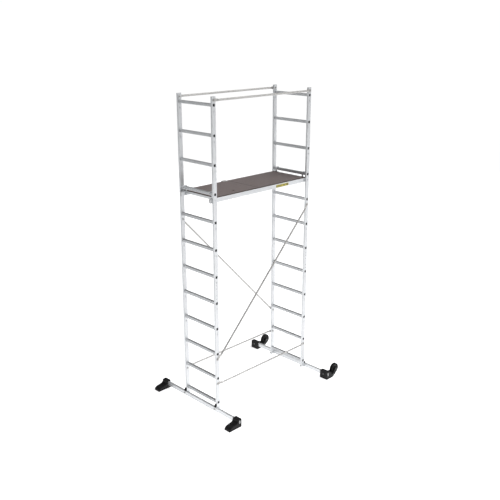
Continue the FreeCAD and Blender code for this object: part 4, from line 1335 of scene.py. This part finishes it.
class SCAFFOLD_OT_shoes(bpy.types.Operator):
    """Add the two moulded shoes"""
    bl_idname = "scaffold.shoes"
    bl_label = "Shoes"

    def execute(self, context):
        beam = "base_beam_shoe_end"
        for side in SIDES:
            node = "shoe_" + side
            low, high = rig.box(node)
            x, y = middle(beam).x, (low.y + high.y) / 2
            outline = shoe_outline((high.x - x) / MM, (low.x - x) / MM, high.z / MM)
            piece = Piece("moulded_shoe_" + side)
            piece.pillow(Place((x, low.y, low.z), Y, X), [Vector((p.x, -p.y)) for p in outline],
                         0, high.y - low.y, 5 * MM, finish("moulded_plastic"))
            shoe = cut_foot(piece.build(), node, beam)
            start, stop = [x + across * MM for across in SLOT_ACROSS]
            slots = [((start, y + shift * MM - SLOT_HALF, high.z - SLOT_DEPTH),
                      (stop, y + shift * MM + SLOT_HALF, high.z + 1 * MM))
                     for shift in SLOT_MIDDLES]
            carve(shoe, box_cutter("top_slots", *slots))
            treads = []
            for index in range(TREADS):
                start = x + (TREAD_FIRST[0] + TREAD_STEP[0] * index) * MM
                rise = (TREAD_FIRST[1] + TREAD_STEP[1] * index) * MM
                treads.append(((start, low.y + TREAD_MARGIN, rise - TREAD_DEPTH),
                               (start + TREAD_WIDTH, high.y - TREAD_MARGIN, high.z)))
            carve(shoe, box_cutter("treads", *treads))
            dress(shoe, "frame", "moulded_plastic", node)
            add_lip(node, "beam_lip_" + node, beam, SHOE_MOUTH_SHIFT)
        return {"FINISHED"}


class SCAFFOLD_OT_brackets(bpy.types.Operator):
    """Add the two moulded wheel brackets"""
    bl_idname = "scaffold.brackets"
    bl_label = "Wheel brackets"

    def execute(self, context):
        beam = "base_beam_wheel_end"
        for side in SIDES:
            node = "wheel_bracket_" + side
            low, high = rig.box(node)
            x, y = middle(beam).x, (low.y + high.y) / 2
            bracket = copied(node, "moulded_bracket_" + side, finish("moulded_plastic"))
            ease(bracket, 2.0 * MM, 3, angle=35)
            # the ring reaches past the fork, so the fork's end stays whole
            carve(bracket, sole_groove("groove", low, high + X * 100 * MM))
            recess = Piece("bolt_recess")
            recess.tube(Place((low.x - 1 * MM, y, middle(beam).z), X, Y),
                        rounded_loop(*RECESS, 9 * MM), rounded_loop(ISLAND, ISLAND, 8 * MM),
                        1 * MM + SINK, None, edge=0)
            carve(bracket, recess.build(smooth=None))
            dress(bracket, "frame", "moulded_plastic", node)
            add_lip(node, "beam_lip_" + node, beam, BRACKET_MOUTH_SHIFT)
            webs = Piece("bracket_webs_" + side)
            web = rounded_outline(scaled(BRACKET_WEB))
            for way in (1, -1):
                loop = [Vector((p.x, p.y * way)) for p in web]
                place = Place((x + WEB_ROOT, y + way * WEB_SPREAD, 0), Z, X)
                webs.bar(place, loop, low.z + 0.5 * MM, low.z + WEB_HEIGHT,
                         finish("moulded_plastic"))
            dress(ease(webs.build(), 1.2 * MM, 2), "frame", "moulded_plastic")
        return {"FINISHED"}


# ---------------------------------------------------------------- wheels

# radii of the hub's rim, boss, bore and windows
RIM = 43 * MM
BOSS = 15 * MM
HUB_BORE = 6.2 * MM
HUB_WINDOW = 5 * MM
# half the width of the hub's rim and of its web
HUB_EDGE = 15.5 * MM
HUB_WEB = 7.5 * MM
SPOKES = 6
# radius and half the length of an axle
AXLE = 6 * MM
AXLE_HALF = 32 * MM


def mirrored(profile):
    """A profile from one face to the middle, carried on to the other face."""
    return profile + [(radius, -travel) for radius, travel in reversed(profile)]


class SCAFFOLD_OT_wheels(bpy.types.Operator):
    """Add the tyres, the hubs and the axles"""
    bl_idname = "scaffold.wheels"
    bl_label = "Wheels"

    def execute(self, context):
        for side in SIDES:
            self.add_tyre(side)
            self.add_hub(side)
        axles = Piece("axle_pins")
        for side in SIDES:
            spot = middle("wheel_hub_" + side)
            axles.turned(spot, Y, [(AXLE, -AXLE_HALF), (AXLE, AXLE_HALF)], finish("zinc"), 32,
                         closed=False)
            for way in (Y, -Y):
                axles.turned(spot + way * AXLE_HALF, way, [
                    (10 * MM, 0), (10 * MM, 1.4 * MM), (8.6 * MM, 3 * MM), (5.2 * MM, 3.9 * MM),
                    (4.2 * MM, 3.9 * MM), (3.6 * MM, 3.1 * MM), (1 * MM, 3.1 * MM)],
                    finish("dark_steel"), 40, closed=False)
        dress(axles.build(), "frame", "zinc_fasteners", "wheel_axles")
        return {"FINISHED"}

    def add_tyre(self, side):
        node = "tyre_" + side
        spot = middle(node)
        size = span(node)
        tread, half = size.z / 2, size.y / 2
        profile = [(RIM, half - 2 * MM), (RIM + 1.5 * MM, half - 0.8 * MM),
                   (RIM + 4 * MM, half - 0.2 * MM), (RIM + 5.5 * MM, half),
                   (RIM + 6 * MM, half - 0.8 * MM), (RIM + 7 * MM, half - 0.8 * MM),
                   (RIM + 7.5 * MM, half), (tread - 7 * MM, half),
                   (tread - 4 * MM, half - 1.4 * MM), (tread - 1.8 * MM, half - 3.6 * MM),
                   (tread - 0.5 * MM, half - 6.4 * MM), (tread, half - 9 * MM),
                   (tread, half - 9.6 * MM), (tread - 1.6 * MM, half - 10 * MM),
                   (tread - 1.6 * MM, half - 11.4 * MM), (tread, half - 11.8 * MM)]
        piece = Piece("rubber_" + node)
        piece.turned(spot, Y, mirrored(profile), finish("tyre_rubber"), count=96)
        dress(piece.build(), "wheel_" + side, "tyre", node)

    def add_hub(self, side):
        node = "wheel_hub_" + side
        spot = middle(node)
        face = span(node).y / 2
        profile = [(HUB_BORE, face - 0.6 * MM), (HUB_BORE + 0.6 * MM, face),
                   (BOSS - 1.2 * MM, face), (BOSS - 0.4 * MM, face - 0.8 * MM),
                   (BOSS, HUB_WEB + 2 * MM), (BOSS + 2 * MM, HUB_WEB),
                   (RIM - 7 * MM, HUB_WEB), (RIM - 5 * MM, HUB_WEB + 2 * MM),
                   (RIM - 4.6 * MM, HUB_EDGE - 1 * MM), (RIM - 3.8 * MM, HUB_EDGE),
                   (RIM - 0.6 * MM, HUB_EDGE), (RIM, HUB_EDGE - 0.6 * MM)]
        plastic = finish("hub_plastic")
        piece = Piece("spoked_" + node)
        piece.turned(spot, Y, mirrored(profile), plastic, count=72)
        hub = piece.build()
        between = (BOSS + RIM - 5 * MM) / 2
        windows = [spot + self.spoke(index) * between for index in range(SPOKES)]
        carve(hub, hole_cutter("hub_windows", windows, round_loop(HUB_WINDOW, 24), Y, X,
                               span(node).y))
        dress(hub, "wheel_" + side, "hub_plastic", node)
        ribs = Piece("ribs_" + node)
        for index in range(SPOKES):
            for way in (1, -1):
                place = Place(spot + Y * way * (HUB_WEB + 2.5 * MM), self.spoke(index + 0.5), Y)
                ribs.bar(place, rounded_loop(6 * MM, 3 * MM, 0.8 * MM, 2), BOSS - 1 * MM,
                         RIM - 4 * MM, plastic)
        dress(ribs.build(), "wheel_" + side, "hub_plastic")

    def spoke(self, index):
        """Direction from the hub's middle to a spoke."""
        angle = 2 * math.pi * index / SPOKES
        return Vector((math.cos(angle), 0, math.sin(angle)))


# ---------------------------------------------------------------- platform

RAIL_WIDTH = 30 * MM
RAIL_WALL = 2 * MM
# rivets of a claw: one below the top of its nose, two along its root beside the side rail
NOSE_RIVET_DROP = 17 * MM
ROOT_RIVET_RISE = 14 * MM
ROOT_RIVET_INSET = 12 * MM
ROOT_RIVET_PITCH = 24 * MM
NOSE_RIVET = 4.5 * MM
ROOT_RIVET = 3.5 * MM
# thickness of a claw's plate
CLAW_PLATE = 6 * MM


class SCAFFOLD_OT_platform_frame(bpy.types.Operator):
    """Add the platform's side rails, cross beams and riveted claws"""
    bl_idname = "scaffold.platform_frame"
    bl_label = "Platform frame"

    def execute(self, context):
        low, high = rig.box("platform_side_rails")
        depth, middle_z = high.z - low.z, (low.z + high.z) / 2
        bore = rounded_loop(RAIL_WIDTH - 2 * RAIL_WALL, depth - 2 * RAIL_WALL, 0.5 * MM)
        rails = Piece("side_rails")
        for y in (low.y + RAIL_WIDTH / 2, high.y - RAIL_WIDTH / 2):
            rails.tube(Place((low.x, y, middle_z), X, Y),
                       rounded_loop(RAIL_WIDTH, depth, 2.5 * MM), bore, high.x - low.x,
                       finish("extruded_aluminium", "X"), edge=0.5 * MM)
            for x, way in ((low.x, X), (high.x, -X)):
                rails.bar(Place((x, y, middle_z), way, Y), bore, 0.8 * MM, END_PLUG,
                          finish("end_plug"), edge=0.8 * MM)
        dress(rails.build(), "frame", "aluminium_profile", "platform_side_rails")
        beams = copied("platform_cross_beams", "cross_beams", finish("extruded_aluminium", "Y"))
        dress(ease(beams, 1.2 * MM, 2, angle=60), "frame", "aluminium_profile",
              "platform_cross_beams")
        claws = copied("platform_claws", "hook_plates", finish("extruded_aluminium", "Z"))
        dress(ease(claws, 1.4 * MM, 3), "frame", "galvanised_plate", "platform_claws")
        rivets = Piece("claw_rivets")
        for low, high in loose_boxes("platform_claws"):
            end = -1 if low.x < 0 else 1
            inward = 1 if low.y < 0 else -1
            nose, root = (low.x, high.x) if end < 0 else (high.x, low.x)
            rivet(rivets, (nose, (low.y + high.y) / 2, high.z - NOSE_RIVET_DROP), X * end,
                  NOSE_RIVET, finish("dark_steel"))
            face = (low.y if inward > 0 else high.y) + inward * CLAW_PLATE
            for inset_by in (ROOT_RIVET_INSET, ROOT_RIVET_INSET + ROOT_RIVET_PITCH):
                rivet(rivets, (root + end * inset_by, face, low.z + ROOT_RIVET_RISE),
                      Y * inward, ROOT_RIVET)
        dress(rivets.build(), "frame", "zinc_fasteners")
        return {"FINISHED"}


HATCH_GAP = 3 * MM
# rivets along both edges of the fixed board: how many, their radius and their places
DECK_RIVETS = 5
DECK_RIVET = 4 * MM
DECK_RIVET_INSET = 15 * MM
DECK_RIVET_MARGIN = 40 * MM
# grip hole of the hatch, from its front edge, and in mm the radii and rises of its ring
GRIP_INSET = 84 * MM
GRIP_HOLE = 17 * MM
GRIP_RING = ((15.6, 0.6), (16.2, 1.2), (20, 1.2), (20.8, 0.2), (20.8, 0), (17, 0))


def add_board(name, low, high):
    """Plywood board: film on both faces, sealed veneers along its edges."""
    piece = Piece(name)
    piece.block(low, high, finish("deck_film"), edge=sizes().board_edge)
    board = piece.build()
    board.data.materials.append(finish("ply_edge"))
    for face in board.data.polygons:
        if abs(face.normal.z) < 0.6:
            face.material_index = 1
    return board


class SCAFFOLD_OT_deck(bpy.types.Operator):
    """Add the deck boards, the hatch and its grip ring"""
    bl_idname = "scaffold.deck"
    bl_label = "Deck"

    def execute(self, context):
        low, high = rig.box("deck_boards")
        hatch_low, hatch_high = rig.box("hatch_board")
        strip = add_board("deck_strip", low, Vector((hatch_low.x - HATCH_GAP, high.y, high.z)))
        dress(strip, "frame", "deck_board")
        deck = add_board("deck_board_fixed", Vector((hatch_high.x + HATCH_GAP, low.y, low.z)),
                         high)
        dress(deck, "frame", "deck_board", "deck_boards")
        hatch = add_board("hatch_panel", hatch_low, hatch_high)
        grip = (hatch_low + hatch_high) / 2
        grip.y = hatch_low.y + GRIP_INSET
        carve(hatch, hole_cutter("grip_hole", [grip], round_loop(GRIP_HOLE, 48), Z, X,
                                 span("hatch_board").z))
        dress(hatch, "hatch", "deck_board", "hatch_board")
        top = hatch_high.z - grip.z
        ring = Piece("grip_ring")
        profile = [(radius * MM, top + rise * MM) for radius, rise in GRIP_RING]
        ring.turned(grip, Z, mirrored(profile), finish("grip_plastic"), count=48)
        dress(ring.build(), "hatch", "moulded_plastic")
        rivets = Piece("deck_rivets")
        first = hatch_high.x + HATCH_GAP + DECK_RIVET_MARGIN
        last = high.x - DECK_RIVET_MARGIN
        for index in range(DECK_RIVETS):
            x = first + (last - first) * index / (DECK_RIVETS - 1)
            for y in (low.y + DECK_RIVET_INSET, high.y - DECK_RIVET_INSET):
                rivet(rivets, (x, y, high.z), Z, DECK_RIVET)
        dress(rivets.build(), "frame", "zinc_fasteners")
        return {"FINISHED"}


# thickness of a hinge leaf, how far in from its edges the screws sit, and their radius
LEAF = 1.5 * MM
SCREW_INSET = 9 * MM
SCREW = 3 * MM


class SCAFFOLD_OT_hinges(bpy.types.Operator):
    """Add the two hatch hinges with their screws"""
    bl_idname = "scaffold.hinges"
    bl_label = "Hatch hinges"

    def execute(self, context):
        deck_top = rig.box("hatch_board")[1].z
        for node, body in (("hatch_hinge_moving_leaves", "hatch"),
                           ("hatch_hinge_fixed_leaves", "frame")):
            leaf = copied(node, node + "_pressed", finish("zinc"))
            dress(ease(leaf, 0.3 * MM, angle=45), body, "galvanised_plate", node)
            screws = Piece(node + "_screws")
            for low, high in loose_boxes(node):
                for x in (low.x + SCREW_INSET, high.x - SCREW_INSET):
                    if body == "hatch":
                        rivet(screws, (x, low.y + SCREW_INSET, deck_top + LEAF), Z, SCREW)
                    else:
                        rivet(screws, (x, low.y + LEAF, low.z + SCREW_INSET), Y, SCREW)
            dress(screws.build(), body, "zinc_fasteners")
        return {"FINISHED"}


# the label on the front rail: from where to where past the rail's middle, and its heights
LABEL_SPAN = (196 * MM, 388 * MM)
LABEL_RISE = (8 * MM, 35 * MM)
# its dark bars in mm from the label's lower corner: left, right, bottom, top
LABEL_BARS = ((5, 21, 5, 22), (30, 96, 16, 21), (30, 84, 6, 11), (106, 150, 16, 21),
              (106, 138, 6, 11), (160, 184, 5, 22))


class SCAFFOLD_OT_label(bpy.types.Operator):
    """Add the plain load label on the front side rail"""
    bl_idname = "scaffold.label"
    bl_label = "Label"

    def execute(self, context):
        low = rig.box("platform_side_rails")[0]
        middle_x = middle("platform_side_rails").x
        start, stop = [middle_x + shift for shift in LABEL_SPAN]
        base, top = [low.z + rise for rise in LABEL_RISE]
        piece = Piece("rail_label")
        piece.block((start, low.y - 0.4 * MM, base), (stop, low.y + 0.5 * MM, top),
                    finish("label_field"), edge=0.15 * MM)
        for left, right, bottom, up in LABEL_BARS:
            piece.block((start + left * MM, low.y - 0.55 * MM, base + bottom * MM),
                        (start + right * MM, low.y - 0.3 * MM, base + up * MM),
                        finish("label_ink"))
        dress(piece.build(), "frame", "aluminium_profile")
        return {"FINISHED"}


# ---------------------------------------------------------------- stage

# what the floor lies below the feet
FLOOR_DROP = 0.2 * MM
# the key light: where it stands, the width of its disc in degrees and its power
KEY_PLACE = (1.8, -3.6, 6.0)
KEY_SPREAD = 35
KEY_POWER = 2.3


class SCAFFOLD_OT_stage(bpy.types.Operator):
    """Add the floor, the studio light and the camera"""
    bl_idname = "scaffold.stage"
    bl_label = "Stage"

    def execute(self, context):
        self.add_floor()
        self.add_world(context.scene)
        self.add_key_light(context.scene)
        self.add_camera(context.scene)
        context.scene.view_settings.view_transform = "Standard"
        return {"FINISHED"}

    def add_floor(self):
        piece = Piece("floor")
        piece.turned((0, 0, -FLOOR_DROP), Z, [(FLOOR_REACH, -20 * MM), (FLOOR_REACH, 0)],
                     finish("floor"), count=96, closed=False)
        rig.stage(piece.build())

    def add_world(self, scene):
        scene.world = bpy.data.worlds.new("studio")
        sky = Finish("studio", scene.world)
        where = sky.node("ShaderNodeTexCoord")["Generated"]
        split = sky.node("ShaderNodeSeparateXYZ", None, {0: where})
        # brightest low down on the +X and +Y sides, dim overhead
        round_about = (0.51 + 0.50 * split["X"] + 0.36 * split["Y"]).larger(0.38).clamped()
        overhead = (1.12 - 2.0 * split["Z"]).larger(0.32).clamped()
        glow = round_about * overhead
        sky.surface(Color=sky.mix(glow, (0, 0, 0), (1.02, 1.02, 1.02)), Strength=1.0)

    def add_key_light(self, scene):
        light = bpy.data.lights.new("key", "SUN")
        light.angle = math.radians(KEY_SPREAD)
        light.energy = KEY_POWER
        thing = bpy.data.objects.new("key", light)
        thing.location = KEY_PLACE
        thing.rotation_euler = (-Vector(KEY_PLACE)).to_track_quat("-Z", "Y").to_euler()
        scene.collection.objects.link(thing)

    def add_camera(self, scene):
        stage = scene.scaffold_stage
        back = Vector((math.sin(stage.azimuth) * math.cos(stage.elevation),
                       -math.cos(stage.azimuth) * math.cos(stage.elevation),
                       math.sin(stage.elevation)))
        camera = bpy.data.objects.new("camera", bpy.data.cameras.new("camera"))
        camera.data.lens = 50
        camera.location = Vector(stage.target) + back * stage.distance
        camera.rotation_euler = (-back).to_track_quat("-Z", "Y").to_euler()
        scene.collection.objects.link(camera)
        scene.camera = camera


# ---------------------------------------------------------------- panel and run

PIECES = (SCAFFOLD_OT_stiles, SCAFFOLD_OT_rungs, SCAFFOLD_OT_joints, SCAFFOLD_OT_braces,
          SCAFFOLD_OT_bolts, SCAFFOLD_OT_base_beams, SCAFFOLD_OT_shoes, SCAFFOLD_OT_brackets,
          SCAFFOLD_OT_wheels, SCAFFOLD_OT_platform_frame, SCAFFOLD_OT_deck, SCAFFOLD_OT_hinges,
          SCAFFOLD_OT_label, SCAFFOLD_OT_stage)
SETTINGS = {"scaffold_sizes": ScaffoldSizes, "scaffold_colours": ScaffoldColours,
            "scaffold_stage": ScaffoldStage}


class SCAFFOLD_PT_panel(bpy.types.Panel):
    """Buttons and settings of the tower"""
    bl_idname = "SCAFFOLD_PT_panel"
    bl_label = "Tower Scaffold"
    bl_space_type = "VIEW_3D"
    bl_region_type = "UI"
    bl_category = "Scaffold"

    def draw(self, context):
        for piece in PIECES:
            self.layout.operator(piece.bl_idname)
        for name, group in SETTINGS.items():
            box = self.layout.box()
            for key in group.__annotations__:
                box.prop(getattr(context.scene, name), key)


def register():
    for item in (*SETTINGS.values(), *PIECES, SCAFFOLD_PT_panel):
        bpy.utils.register_class(item)
    for name, group in SETTINGS.items():
        setattr(bpy.types.Scene, name, PointerProperty(type=group))


def unregister():
    for name in SETTINGS:
        delattr(bpy.types.Scene, name)
    for item in (SCAFFOLD_PT_panel, *reversed(PIECES), *SETTINGS.values()):
        bpy.utils.unregister_class(item)


def main():
    register()
    for piece in PIECES:
        group, name = piece.bl_idname.split(".")
        getattr(getattr(bpy.ops, group), name)()
    boxes = {"cad": [list(corner) for corner in CAD_BOX],
             "visual": [list(corner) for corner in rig.bounds()]}
    with open("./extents.json", "w", encoding="utf-8") as out:
        json.dump(boxes, out, indent=1)


if __name__ == "__main__":
    main()
